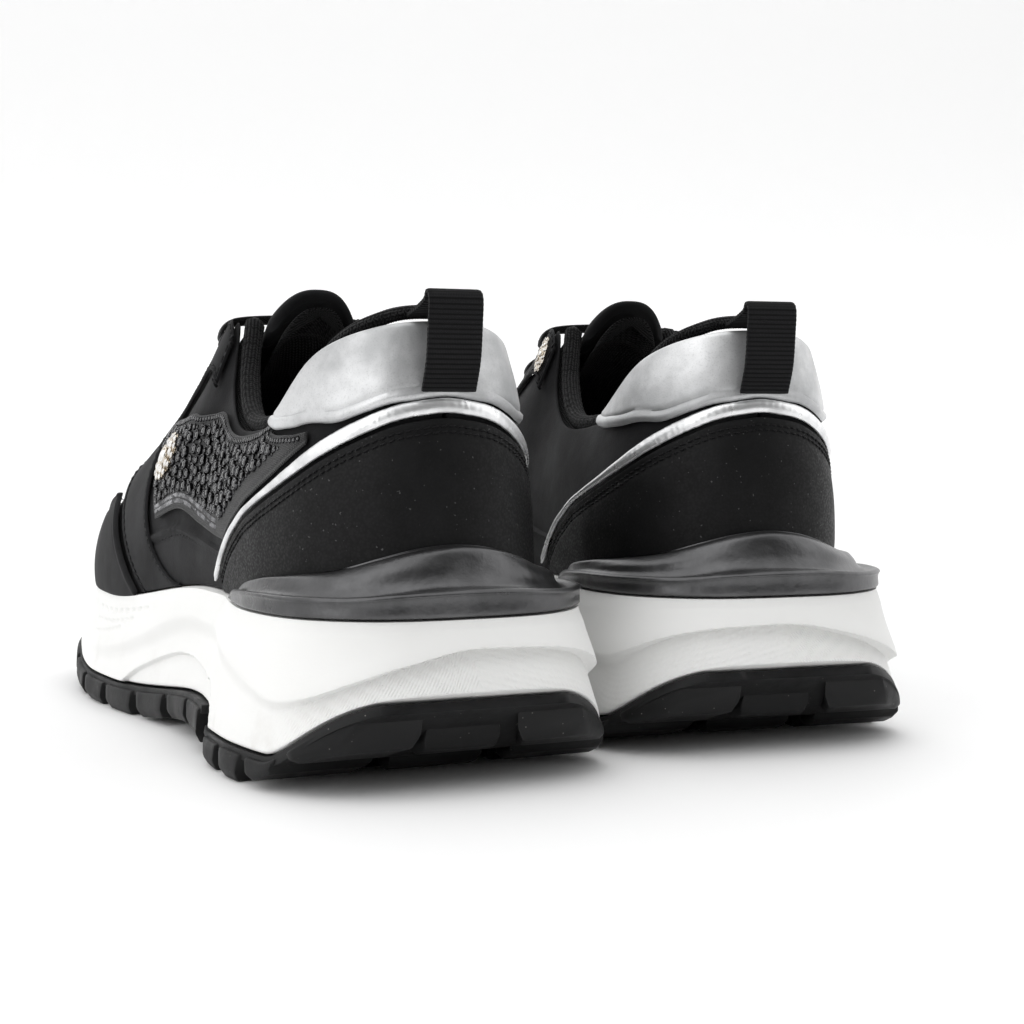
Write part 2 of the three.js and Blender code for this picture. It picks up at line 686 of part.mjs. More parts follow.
const shoe = [
  ["outsole_heel", "rubber", () => outsole(-24, 47, 17.5)],
  ["outsole_forefoot", "rubber", () => outsole(53, 260, 26)],
  ["midsole", "foam", midsole],
  ["heel_clip", "clip", heelClip],
  ["lasting_board", "board", () => footbed(0, BOARD)],
  ["sockliner", "sock", () => footbed(BOARD + GAP, BOARD + GAP + SOCKLINER)],
  ["heel_stiffener", "board", stiffener],
  ["toe_puff", "board", toePuff],
  ["lining_outer", "knit", () => lining(1)],
  ["lining_inner", "knit", () => lining(-1)],
  ["quarter_outer", "nubuck", () => quarter(1)],
  ["quarter_inner", "nubuck", () => quarter(-1)],
  ["vamp", "nubuck", vamp],
  ["toe_guard", "nubuck", toeGuard],
  ["side_guard_outer", "nubuck", () => sideGuard(1)],
  ["side_guard_inner", "nubuck", () => sideGuard(-1)],
  ["eyestay_outer", "nubuck", () => eyestay(1)],
  ["eyestay_inner", "nubuck", () => eyestay(-1)],
  ["crystal_panel", "crystal", crystalPanel],
  ["heel_counter", "leather", heelCounter],
  ["piping", "piping", piping],
  ["heel_tab", "silver", heelTab],
  ["collar_padding", "knit", collarPadding],
  ["collar_binding", "knit", collarBinding],
  ["pull_loop", "webbing", pullLoop],
  ["tongue", "nubuck", () => tongueLayer(0, TONGUE_THICKNESS)],
  ["lace", "webbing", lace],
  ["ornament_outer", "stone", () => ornament(7.5, 8.3, 0.42, 0.58)],
  ["ornament_inner", "stone", () => ornament(-6.75, -7.1, 0.8, 0.94)],
  ["tongue_lining", "knit", () => tongueLayer(LINING_DEPTH, LINING_DEPTH + TONGUE_LINING)],
];

const group = new THREE.Group();
for (const [name, mirror] of [["left", 1], ["right", -1]]) {
  const one = new THREE.Group();
  one.scale.set(mirror, 1, 1);
  one.rotation.z = mirror * TOE_OUT;
  one.position.set((-mirror * PAIR_SPACING) / 2, (-mirror * PAIR_STAGGER) / 2, 0);
  for (const [piece, finish, build] of shoe) {
    const mesh = new THREE.Mesh(build(), new THREE.MeshStandardMaterial(FINISH[finish]));
    mesh.name = `${name}_${piece}`;
    one.add(mesh);
  }
  group.add(one);
}

// The origin is on the floor, in the middle of the pair.
const middle = new THREE.Box3().setFromObject(group, true).getCenter(at(0, 0, 0));
group.position.set(-middle.x, -middle.y, 0);

export default group;
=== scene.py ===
"""Looks of a pair of cheer shoes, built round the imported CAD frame.

Every piece is shaped in one shoe's own space, in millimetres: heel at y = 0, toe along +Y, outer side on -X.
It is then placed as the left shoe's piece, and its mirrored copy as the right one's.
"""

import json
import logging
import math
from dataclasses import dataclass, field
from enum import Enum
from typing import Callable, Sequence

import bpy
import numpy as np
from mathutils import Matrix, Vector

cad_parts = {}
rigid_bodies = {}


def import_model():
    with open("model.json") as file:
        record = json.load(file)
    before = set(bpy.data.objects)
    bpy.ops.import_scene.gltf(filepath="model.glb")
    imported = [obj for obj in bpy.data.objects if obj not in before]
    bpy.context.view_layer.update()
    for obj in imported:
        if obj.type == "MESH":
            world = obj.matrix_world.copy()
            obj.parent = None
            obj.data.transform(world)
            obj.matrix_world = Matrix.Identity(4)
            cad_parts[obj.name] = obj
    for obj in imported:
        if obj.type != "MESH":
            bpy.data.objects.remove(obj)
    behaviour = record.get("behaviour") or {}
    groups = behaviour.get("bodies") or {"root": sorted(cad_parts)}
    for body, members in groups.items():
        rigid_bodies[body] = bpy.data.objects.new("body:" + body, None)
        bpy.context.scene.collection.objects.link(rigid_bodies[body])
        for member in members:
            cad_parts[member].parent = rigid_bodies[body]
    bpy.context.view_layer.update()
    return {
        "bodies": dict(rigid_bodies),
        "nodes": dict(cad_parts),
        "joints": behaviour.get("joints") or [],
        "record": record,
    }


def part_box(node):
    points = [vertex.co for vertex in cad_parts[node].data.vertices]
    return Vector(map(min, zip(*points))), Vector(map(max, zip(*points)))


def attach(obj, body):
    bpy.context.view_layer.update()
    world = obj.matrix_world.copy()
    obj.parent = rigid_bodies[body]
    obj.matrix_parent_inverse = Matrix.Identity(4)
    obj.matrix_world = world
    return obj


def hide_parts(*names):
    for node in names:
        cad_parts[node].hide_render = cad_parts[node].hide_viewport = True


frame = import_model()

LOG = logging.getLogger("cheer_shoes")
MM = 0.001
UP = np.array([0.0, 0.0, 1.0])
MERGE = 1e-3
FINENESS = 1e4
Values = np.ndarray
Object = bpy.types.Object
Material = bpy.types.Material
Socket = bpy.types.NodeSocket
Curve = Callable[[Values], Values]


# ---- Shape of the last ---------------------------------------------------------------------------
SEAT_OUTLINE = (
    (0, -5), (16, -1), (28, 12), (33, 31), (33.5, 51), (33, 72), (33.5, 93), (35.5, 114),
    (38.5, 136), (41, 158), (42.5, 180), (41.5, 203), (35.5, 226), (22, 244), (0, 252),
)
RIM_OUTLINE = (
    (0, 3), (12.5, 6), (22.5, 18), (27.5, 37), (29, 56), (28, 76), (24.5, 92), (19, 104),
    (16.5, 120), (14.5, 137), (13.5, 154), (12, 169), (8.5, 180), (4.5, 186), (0, 188),
)
RIM_HEIGHT = (1, 0.98, 0.89, 0.67, 0.61, 0.63, 0.78, 1.05, 0.97, 0.84, 0.71, 0.59, 0.51, 0.47, 0.46)
TREAD_OUTLINE = (
    (0, -27), (26, -24), (44, -8), (50, 18), (49.5, 45), (46, 70), (44, 93), (45.5, 114),
    (49, 136), (52.5, 158), (54, 181), (52, 206), (45, 233), (27, 256), (0, 263),
)
UPPER_HEIGHT = 75.0
SEAT_HEIGHT = 45.0
TREAD_DEPTH = 8.0
STATIONS = len(SEAT_OUTLINE) - 1
ROUND = 2 * STATIONS
GAP = 0.6


def smooth(low: float, high: float, x: Values) -> Values:
    """Rise smoothly from 0 at low to 1 at high.

    Args:
        low: Where the rise starts.
        high: Where it ends.
        x: Places to read.

    Returns:
        The share of the rise at each place.
    """
    share = np.clip((np.asarray(x, float) - low) / (high - low), 0.0, 1.0)
    return share * share * (3 - 2 * share)


def mix(a: Values, b: Values, share: Values) -> Values:
    """Blend from a to b by a share."""
    return a + (b - a) * share


def quarter_round(away: Values, radius: float) -> Values:
    """How far a rounded edge has fallen, as a share of its radius, at distances from the edge."""
    return 1 - np.sqrt(1 - (1 - np.clip(away / radius, 0, 1)) ** 2)


def profile(*points: tuple[float, float]) -> Curve:
    """Make a smooth curve through a few (place, value) points.

    Args:
        points: Points in order of place.

    Returns:
        A function of place that eases between the points.
    """
    places = np.array([p[0] for p in points], float)
    values = np.array([p[1] for p in points], float)
    slopes = np.gradient(values, places)

    def read(x: Values) -> Values:
        """Read the curve at x."""
        x = np.clip(np.asarray(x, float), places[0], places[-1])
        i = np.clip(np.searchsorted(places, x) - 1, 0, len(places) - 2)
        width = places[i + 1] - places[i]
        s = (x - places[i]) / width
        h00, h10 = 2 * s**3 - 3 * s**2 + 1, s**3 - 2 * s**2 + s
        return (
            h00 * values[i] + h10 * width * slopes[i]
            + (1 - h00) * values[i + 1] + (s**3 - s**2) * width * slopes[i + 1]
        )

    return read


def seat_height(y: Values) -> Values:
    """Height of the seat, where the upper meets the midsole."""
    return SEAT_HEIGHT - 9 * smooth(85, 175, y) + 4 * smooth(205, 260, y)


def tread_height(y: Values) -> Values:
    """Height of the midsole's lower edge: heel bevel, heel block, arch step and toe spring."""
    bevel = 17 * (1 - smooth(-31, 2, y))
    arch = 6 * smooth(44, 54, y) * (1 - smooth(60, 150, y))
    return TREAD_DEPTH + 1.5 + bevel + arch + 12 * smooth(175, 275, y)


def lug_height(y: Values) -> Values:
    """Height of the lug faces, which touch the floor under the heel block and under the ball."""
    bevel = 14 * (1 - smooth(-32, 18, y))
    arch = 5 * smooth(50, 62, y) * (1 - smooth(80, 140, y))
    return bevel + arch + 11 * smooth(182, 275, y)


def swing(y: Values) -> Values:
    """How far the shoe's middle line leans to the inner side."""
    return 5 * smooth(95, 250, y)


def curve_between(before: Values, start: Values, end: Values, after: Values, f: Values) -> Values:
    """Points of a smooth curve between two of its knots.

    Args:
        before: The knot before them.
        start: The first of the two.
        end: The second.
        after: The knot after them.
        f: How far along, from 0 to 1.

    Returns:
        The points.
    """
    return 0.5 * (
        2 * start + (end - before) * f + (2 * before - 5 * start + 4 * end - after) * f**2
        + (3 * start - before - 3 * end + after) * f**3
    )


class Loop:
    """A closed smooth loop round the shoe through an outline and its mirror image."""

    def __init__(
        self, outline: Sequence[tuple[float, float]], heights: Sequence[float] | None = None
    ) -> None:
        """Lay the loop's points.

        Args:
            outline: Half widths and places along the shoe, heel to toe.
            heights: Height at each of them, or None for a level loop.
        """
        heights = heights or [0.0] * len(outline)
        points = []
        for i in range(ROUND):
            side, k = (-1, i) if i <= STATIONS else (1, ROUND - i)
            half, along = outline[k]
            points.append((side * half + float(swing(along)), along, heights[k]))
        self.points = np.array(points, float)

    def at(self, u: Values) -> Values:
        """Points of the loop at stations u."""
        u = np.asarray(u, float)
        i = np.floor(u).astype(int)
        f = (u - i)[..., None]
        return curve_between(*(self.points[(i + k) % ROUND] for k in (-1, 0, 1, 2)), f)


class Last:
    """The form that the upper is drawn over.

    A place on it is a station u, round the shoe from the heel, and t, from the seat at 0 to the rim at 1.
    """

    def __init__(self) -> None:
        """Lay the seat, the rim and the tread."""
        self._seat = Loop(SEAT_OUTLINE)
        self._rim = Loop(RIM_OUTLINE, [SEAT_HEIGHT + UPPER_HEIGHT * h for h in RIM_HEIGHT])
        self._tread = Loop(TREAD_OUTLINE)

    def seat(self, u: Values) -> Values:
        """Points where the upper meets the midsole."""
        p = self._seat.at(u)
        p[..., 2] = seat_height(p[..., 1])
        return p

    def rim(self, u: Values) -> Values:
        """Points of the top line."""
        return self._rim.at(u)

    def tread(self, u: Values) -> Values:
        """Points of the midsole's lower edge."""
        p = self._tread.at(u)
        p[..., 2] = tread_height(p[..., 1])
        return p

    def outward(self, u: Values) -> Values:
        """Level directions out of the shoe."""
        along = self.seat(np.asarray(u) + 0.1) - self.seat(np.asarray(u) - 0.1)
        out = np.stack([-along[..., 1], along[..., 0], np.zeros_like(along[..., 0])], -1)
        return out / np.linalg.norm(out, axis=-1, keepdims=True)

    def surface(self, u: Values, t: Values) -> Values:
        """Points of the last."""
        u, t = np.broadcast_arrays(np.asarray(u, float), np.asarray(t, float))
        low, high, out = self.seat(u), self.rim(u), self.outward(u)
        rise = (high[..., 2] - low[..., 2])[..., None]
        inset = np.hypot(high[..., 0] - low[..., 0], high[..., 1] - low[..., 1])[..., None]
        droop = rise * (0.3 - 0.2 * smooth(110, 200, high[..., 1]))[..., None]
        low_handle = low + out * 2.5 + UP * 0.34 * rise
        high_handle = high + out * (2 + 0.5 * inset) - UP * droop
        s = t[..., None]
        return (
            low * (1 - s) ** 3 + 3 * low_handle * s * (1 - s) ** 2
            + 3 * high_handle * s * s * (1 - s) + high * s**3
        )

    def normal(self, u: Values, t: Values) -> Values:
        """Outward normals of the last."""
        u, t = np.broadcast_arrays(np.asarray(u, float), np.asarray(t, float))
        around = self.surface(u + 0.02, t) - self.surface(u - 0.02, t)
        rise = self.surface(u, np.minimum(t + 0.02, 1)) - self.surface(u, np.maximum(t - 0.02, 0))
        n = np.cross(rise, around)
        return n / np.linalg.norm(n, axis=-1, keepdims=True)

    def over(self, u: Values, t: Values, offset: Values) -> Values:
        """Points at an offset from the last."""
        return self.surface(u, t) + self.normal(u, t) * np.asarray(offset, float)[..., None]

    def around(self, u: Values, t: Values) -> Values:
        """Directions round the shoe, along the last."""
        return unit(self.surface(u + 0.02, t) - self.surface(u - 0.02, t))

    def shelf(self, u: Values, least: float = 5.3) -> Values:
        """Upper edge of the midsole's side."""
        low, high, out = self.tread(u), self.seat(u), self.outward(u)
        reach = mix(0.76, 0.3, smooth(22, 82, high[..., 1]))[..., None]
        wide = high + (low - high) * reach
        near = high + out * least
        far = np.hypot(*(wide - high)[..., :2].T) > np.hypot(*(near - high)[..., :2].T)
        point = np.where(far.T[..., None], wide, near)
        point[..., 2] = high[..., 2] - GAP - 0.6
        return point


LAST = Last()


# ---- Placing -------------------------------------------------------------------------------------
class Side(Enum):
    """Which shoe of the pair; its value mirrors the shoe."""

    LEFT = 1
    RIGHT = -1

    @property
    def word(self) -> str:
        """The side's name, as the frame's nodes use it."""
        return self.name.lower()


@dataclass(frozen=True)
class Pair:
    """How the two shoes stand on the floor."""

    spacing: float = 104.0
    stagger: float = 19.0
    toe_out: float = math.radians(3.2)

    def turned(self, side: Side) -> Matrix:
        """One shoe turned and set beside the other, before the pair is centred."""
        s = side.value
        place = Matrix.Translation((-s * self.spacing / 2, -s * self.stagger / 2, 0))
        return place @ Matrix.Rotation(s * self.toe_out, 4, "Z") @ Matrix.Diagonal((s, 1, 1, 1))

    def matrix(self, side: Side) -> Matrix:
        """From one shoe's own space in millimetres to the frame's metres.

        Args:
            side: Which shoe.

        Returns:
            The whole transform, with the pair centred as the frame has it.
        """
        ring = LAST.tread(np.arange(0, ROUND, 0.5))
        turned = self.turned(Side.LEFT)
        lowest = min((turned @ Vector(p)).y for p in ring)
        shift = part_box("left_midsole")[0].y / MM - lowest
        return Matrix.Scale(MM, 4) @ Matrix.Translation((0, shift, 0)) @ self.turned(side)


PAIR = Pair()


# ---- Modelling moves -----------------------------------------------------------------------------
def alone(obj: Object) -> Object:
    """Select one object and nothing else, and make it the active one."""
    bpy.ops.object.select_all(action="DESELECT")
    obj.select_set(True)
    bpy.context.view_layer.objects.active = obj
    return obj


def apply(obj: Object, kind: str, **settings: object) -> Object:
    """Put a modifier on an object and apply it.

    Args:
        obj: The object.
        kind: The modifier's type.
        settings: Its settings by name.

    Returns:
        The same object.
    """
    alone(obj)
    modifier = obj.modifiers.new(kind.lower(), kind)
    for key, value in settings.items():
        setattr(modifier, key, value)
    bpy.ops.object.modifier_apply(modifier=modifier.name)
    return obj


def coordinates(obj: Object) -> Values:
    """All corners of an object's mesh."""
    co = np.empty(len(obj.data.vertices) * 3, np.float32)
    obj.data.vertices.foreach_get("co", co)
    return co.reshape(-1, 3).astype(float)


def reshape(obj: Object, points: Values) -> None:
    """Move all corners of an object's mesh."""
    obj.data.vertices.foreach_set("co", np.ascontiguousarray(points, np.float32).ravel())
    obj.data.update()


def lengths(points: Values, axis: int) -> Values:
    """Running length along one axis of a grid of points."""
    steps = np.linalg.norm(np.diff(points, axis=axis), axis=-1)
    start = np.zeros_like(np.take(steps, [0], axis=axis))
    return np.concatenate([start, np.cumsum(steps, axis=axis)], axis=axis)


def grid(name: str, points: Values) -> Object:
    """A grid primitive laid over a grid of points, with a UV map in metres along the cloth.

    Args:
        name: The object's name.
        points: Where its corners go, as (across, up, 3) in millimetres.

    Returns:
        The object.
    """
    across, up = points.shape[:2]
    bpy.ops.object.select_all(action="DESELECT")
    bpy.ops.mesh.primitive_grid_add(x_subdivisions=across - 1, y_subdivisions=up - 1, size=2)
    obj = bpy.context.active_object
    obj.name = name
    flat = coordinates(obj)
    i = np.rint((flat[:, 0] + 1) / 2 * (across - 1)).astype(int)
    j = np.rint((flat[:, 1] + 1) / 2 * (up - 1)).astype(int)
    reshape(obj, points[i, j])
    run, rise = lengths(points, 0), lengths(points, 1)
    run = np.broadcast_to(run[:, up // 2][:, None], rise.shape)
    corner = np.empty(len(obj.data.loops), np.int32)
    obj.data.loops.foreach_get("vertex_index", corner)
    uv = np.stack([run[i, j], rise[i, j]], -1)[corner] * MM
    obj.data.uv_layers.active.data.foreach_set("uv", uv.astype(np.float32).ravel())
    return obj


def close(obj: Object, merge: float = MERGE, fill: bool = True) -> Object:
    """Merge an object's doubled corners, fill its holes and turn its faces outwards.

    Args:
        obj: The object.
        merge: Distance within which corners merge.
        fill: Whether open ends are filled.

    Returns:
        The same object.
    """
    alone(obj)
    bpy.ops.object.mode_set(mode="EDIT")
    bpy.ops.mesh.select_all(action="SELECT")
    bpy.ops.mesh.remove_doubles(threshold=merge)
    if fill:
        bpy.ops.mesh.select_all(action="DESELECT")
        bpy.ops.mesh.select_non_manifold()
        bpy.ops.mesh.fill_holes(sides=0)
    bpy.ops.mesh.select_all(action="SELECT")
    bpy.ops.mesh.normals_make_consistent(inside=False)
    bpy.ops.mesh.select_all(action="DESELECT")
    bpy.ops.object.mode_set(mode="OBJECT")
    return obj


def face_along(obj: Object, normals: Values) -> None:
    """Turn an open sheet's faces to the side that its normals point to."""
    polygon = obj.data.polygons[len(obj.data.polygons) // 2]
    middle = Vector(polygon.center)
    nearest = np.argmin(np.linalg.norm(coordinates(obj) - np.array(middle), axis=1))
    if polygon.normal.dot(Vector(normals.reshape(-1, 3)[nearest])) < 0:
        obj.data.flip_normals()


def join(name: str, objects: Sequence[Object]) -> Object:
    """Join objects into one."""
    alone(objects[0])
    for obj in objects:
        obj.select_set(True)
    if len(objects) > 1:
        bpy.ops.object.join()
    objects[0].name = name
    return objects[0]


def stamp(name: str, model: Object, places: Values) -> Object:
    """Copy a small model to many places, as one mesh.

    Args:
        name: The new object's name.
        model: The small model; it is removed.
        places: Transforms as (count, 3, 4), the last column being the place.

    Returns:
        The object with all the copies.
    """
    corners = coordinates(model)
    faces = [tuple(p.vertices) for p in model.data.polygons]
    where = np.einsum("nij,vj->nvi", places[:, :, :3], corners) + places[:, None, :, 3]
    count = len(corners)
    copies = [tuple(v + n * count for v in face) for n in range(len(places)) for face in faces]
    mesh = bpy.data.meshes.new(name)
    mesh.from_pydata(where.reshape(-1, 3).tolist(), [], copies)
    obj = bpy.data.objects.new(name, mesh)
    bpy.context.scene.collection.objects.link(obj)
    bpy.data.objects.remove(model)
    return obj


def turned(name: str, outline: Sequence[tuple[float, float]], segments: int) -> Object:
    """A small turned piece: an outline of (radius, height) spun round Z.

    Args:
        name: The object's name.
        outline: From the lower rim to the crown.
        segments: Faces round it.

    Returns:
        The closed object.
    """
    angle = np.linspace(0, 2 * math.pi, segments + 1)[:, None]
    radius = np.array([r for r, _ in outline])[None]
    height = np.broadcast_to(np.array([z for _, z in outline])[None], (segments + 1, len(outline)))
    points = np.stack([radius * np.cos(angle), radius * np.sin(angle), height], -1)
    return close(grid(name, points))


def even(points: Values, step: float) -> tuple[Values, int]:
    """Spread places evenly along a line.

    Args:
        points: The line.
        step: About how far apart the places are.

    Returns:
        The places, as fractional row numbers, and their count.
    """
    run = lengths(points, 0)
    count = max(2, int(round(run[-1] / step)))
    return np.interp(np.linspace(0, run[-1], count), run, np.arange(len(run))), count


def read(values: Values, rows: Values) -> Values:
    """Values between rows, at fractional row numbers."""
    low = np.clip(np.floor(rows).astype(int), 0, len(values) - 2)
    share = (rows - low)[:, None]
    return values[low] * (1 - share) + values[low + 1] * share


def through(points: Sequence[Sequence[float]], count: int) -> Values:
    """Evenly spaced points of a smooth line through a few points.

    Args:
        points: What the line passes through.
        count: How many points come back.

    Returns:
        The points, as (count, 3).
    """
    knots = np.array(points, float)
    padded = np.vstack([2 * knots[0] - knots[1], knots, 2 * knots[-1] - knots[-2]])
    pieces = []
    for k in range(len(knots) - 1):
        f = np.linspace(0, 1, 24, endpoint=k == len(knots) - 2)[:, None]
        pieces.append(curve_between(*padded[k : k + 4], f))
    line = np.vstack(pieces)
    run = lengths(line, 0)
    return read(line, np.interp(np.linspace(0, run[-1], count), run, np.arange(len(line))))


def unit(vectors: Values) -> Values:
    """Vectors scaled to length 1."""
    return vectors / np.maximum(np.linalg.norm(vectors, axis=-1, keepdims=True), 1e-9)


def tangents(line: Values) -> Values:
    """Directions along a line."""
    return unit(np.gradient(line, axis=0))


def tube(
    name: str, line: Values, side: Values, wide: Values, thick: Values, segments: int
) -> Object:
    """A closed oval tube along a line.

    Args:
        name: The object's name.
        line: Its middle, as (count, 3).
        side: The direction of its width at each point.
        wide: Half its width at each point.
        thick: Half its thickness at each point.
        segments: Faces round it.

    Returns:
        The object.
    """
    along = tangents(line)
    side = unit(side - along * np.sum(side * along, -1, keepdims=True))
    other = np.cross(along, side)
    angle = np.linspace(0, 2 * math.pi, segments + 1)
    wide, thick = np.broadcast_to(wide, len(line)), np.broadcast_to(thick, len(line))
    round_side = (wide[:, None] * np.cos(angle))[..., None] * side[:, None]
    round_other = (thick[:, None] * np.sin(angle))[..., None] * other[:, None]
    return close(grid(name, line[:, None] + round_side + round_other))


def fine(length: float, cell: float, edge: bool = True) -> Values:
    """Shares from 0 to 1 for a grid's rows, closer together beside the two edges.

    Args:
        length: The grid's length.
        cell: About how far apart its rows are.
        edge: Whether extra rows stand beside the edges, for a rounded rim.

    Returns:
        The shares.
    """
    inner = np.linspace(0, 1, max(3, int(round(length / cell)) + 1))
    if not edge:
        return inner
    rim = np.array([0.12, 0.3, 0.6]) / length
    body = inner[(inner > 1.4 * rim[-1]) & (inner < 1 - 1.4 * rim[-1])]
    return np.concatenate([[0], rim, body, 1 - rim[::-1], [1]])


def finished(obj: Object, angle: float = 40) -> Object:
    """Shade an object smooth but for its sharp edges."""
    alone(obj)
    bpy.ops.object.shade_smooth_by_angle(angle=math.radians(angle))
    return obj


def pair_up(
    obj: Object,
    word: str,
    material: Material,
    nodes: Sequence[str] = (),
    flap: bool = False,
) -> None:
    """Place a left shoe's piece in the frame, make the right shoe's from it, and tie both to their bodies.

    Args:
        obj: The piece in one shoe's own space.
        word: Its name, to which the side is added.
        material: Its finish.
        nodes: The CAD nodes it stands for, without their side.
        flap: Whether it belongs to the tongue, which bends.
    """
    obj.data.materials.clear()
    obj.data.materials.append(material)
    for side in (Side.RIGHT, Side.LEFT):
        piece = obj
        if side is Side.RIGHT:
            piece = obj.copy()
            piece.data = obj.data.copy()
            bpy.context.scene.collection.objects.link(piece)
        piece.data.transform(PAIR.matrix(side))
        if side is Side.RIGHT:
            piece.data.flip_normals()
        piece.name = f"{side.word}_{word}"
        piece.data.name = piece.name
        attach(piece, f"{side.word}_tongue_flap" if flap else f"{side.word}_shoe")
        if nodes:
            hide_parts(*(f"{side.word}_{node}" for node in nodes))
    LOG.info("%s: %d faces", word, len(obj.data.polygons))


# ---- Finishes ------------------------------------------------------------------------------------
Colour = tuple[float, float, float]


class Graph:
    """A material's nodes."""

    def __init__(self, name: str) -> None:
        """Start a material with a Principled shader."""
        self.material = bpy.data.materials.new(name)
        self.material.use_nodes = True
        self.tree = self.material.node_tree
        self.shader = self.tree.nodes["Principled BSDF"]

    def add(self, kind: str, inputs: dict | None = None, **settings: object) -> bpy.types.Node:
        """Add a node.

        Args:
            kind: Its type without ShaderNode.
            inputs: Values or sockets by input name or number.
            settings: Its properties.

        Returns:
            The node.
        """
        node = self.tree.nodes.new("ShaderNode" + kind)
        for key, value in settings.items():
            setattr(node, key, value)
        for key, value in (inputs or {}).items():
            self.feed(node.inputs[key], value)
        return node

    def feed(self, socket: Socket, value: object) -> None:
        """Link a socket to another, or set its value."""
        if isinstance(value, Socket):
            self.tree.links.new(value, socket)
        else:
            socket.default_value = value

    def set(self, **values: object) -> None:
        """Set the shader's sockets, with _ for a space in their names."""
        for key, value in values.items():
            if isinstance(value, tuple) and len(value) == 3:
                value = (*value, 1.0)
            self.feed(self.shader.inputs[key.replace("_", " ")], value)

    def place(self) -> Socket:
        """Object coordinates."""
        return self.add("TexCoord").outputs["Object"]

    def cloth(self) -> tuple[Socket, Socket]:
        """The two directions of the piece's own UV map, along it and up it, in metres."""
        split = self.add("SeparateXYZ", {0: self.add("TexCoord").outputs["UV"]})
        return split.outputs[0], split.outputs[1]

    def noise(
        self, where: object, scale: float, detail: float = 3.0, rough: float = 0.55
    ) -> Socket:
        """Cloudy noise from 0 to 1."""
        inputs = {"Vector": where, "Scale": scale, "Detail": detail, "Roughness": rough}
        return self.add("TexNoise", inputs).outputs["Fac"]

    def cells(
        self, where: object, scale: float, feature: str = "F1", soft: float = 1.0
    ) -> Socket:
        """Distance to the nearest cell's middle or edge."""
        inputs = {"Vector": where, "Scale": scale}
        if feature == "SMOOTH_F1":
            inputs["Smoothness"] = soft
        return self.add("TexVoronoi", inputs, feature=feature).outputs["Distance"]

    def math(self, kind: str, a: object, b: object = 0.0) -> Socket:
        """Arithmetic on one or two values."""
        return self.add("Math", {0: a, 1: b}, operation=kind).outputs[0]

    def wave(self, along: object, pitch: float, shift: object = 0.0) -> Socket:
        """A sine from 0 to 1 that repeats every pitch metres."""
        turns = self.math("ADD", self.math("MULTIPLY", along, 2 * math.pi / pitch), shift)
        return self.math("MULTIPLY_ADD", self.math("SINE", turns), 0.5)

    def span(
        self, value: object, low: float, high: float, a: float = 0.0, b: float = 1.0
    ) -> Socket:
        """Map a value from low..high to a..b, held at the ends."""
        inputs = {"Value": value, "From Min": low, "From Max": high, "To Min": a, "To Max": b}
        return self.add("MapRange", inputs, interpolation_type="SMOOTHSTEP").outputs[0]

    def tint(self, share: object, a: object, b: object) -> Socket:
        """Blend two colours."""
        a, b = ((*c, 1.0) if isinstance(c, tuple) else c for c in (a, b))
        return self.add("Mix", {0: share, 6: a, 7: b}, data_type="RGBA").outputs[2]

    def relief(self, *layers: tuple[object, float, float]) -> None:
        """Feed the shader's normal from bumps.

        Args:
            layers: For each bump its height socket, its depth in metres and its strength.
        """
        normal = None
        for height, depth, strength in layers:
            inputs = {"Height": height, "Distance": depth, "Strength": strength}
            if normal is not None:
                inputs["Normal"] = normal
            normal = self.add("Bump", inputs).outputs["Normal"]
        self.feed(self.shader.inputs["Normal"], normal)


class Finish:
    """What every finish shares: it makes one material, and its nodes read Object coordinates."""

    name: str

    def build(self) -> Material:
        """Make the material."""
        g = Graph(self.name)
        self.paint(g, g.place())
        return g.material

    def paint(self, g: Graph, where: Socket) -> None:
        """Lay the nodes.

        Args:
            g: The material's nodes.
            where: Object coordinates.
        """
        raise NotImplementedError


@dataclass(frozen=True)
class Nubuck(Finish):
    """Brushed leather with a short nap, mottled where it was stroked."""

    name: str = "nubuck"
    dark: Colour = (0.0045, 0.0045, 0.005)
    light: Colour = (0.0135, 0.0135, 0.0148)

    def paint(self, g: Graph, where: Socket) -> None:
        """Lay the nodes."""
        stroke = g.noise(where, 42, 4)
        nap = g.noise(where, 2600, 2)
        mottle = g.math("ADD", stroke, g.math("MULTIPLY", nap, 0.35))
        colour = g.tint(g.span(mottle, 0.45, 0.95), self.dark, self.light)
        g.set(Base_Color=colour, Roughness=g.span(stroke, 0.3, 0.7, 0.82, 0.68))
        g.set(Sheen_Weight=0.05, Sheen_Roughness=0.45, Specular_IOR_Level=0.16)
        pores, dents = g.cells(where, 1500), g.noise(where, 140, 3)
        g.relief((nap, 0.00012, 0.35), (pores, 0.00012, 0.18), (dents, 0.0005, 0.22))


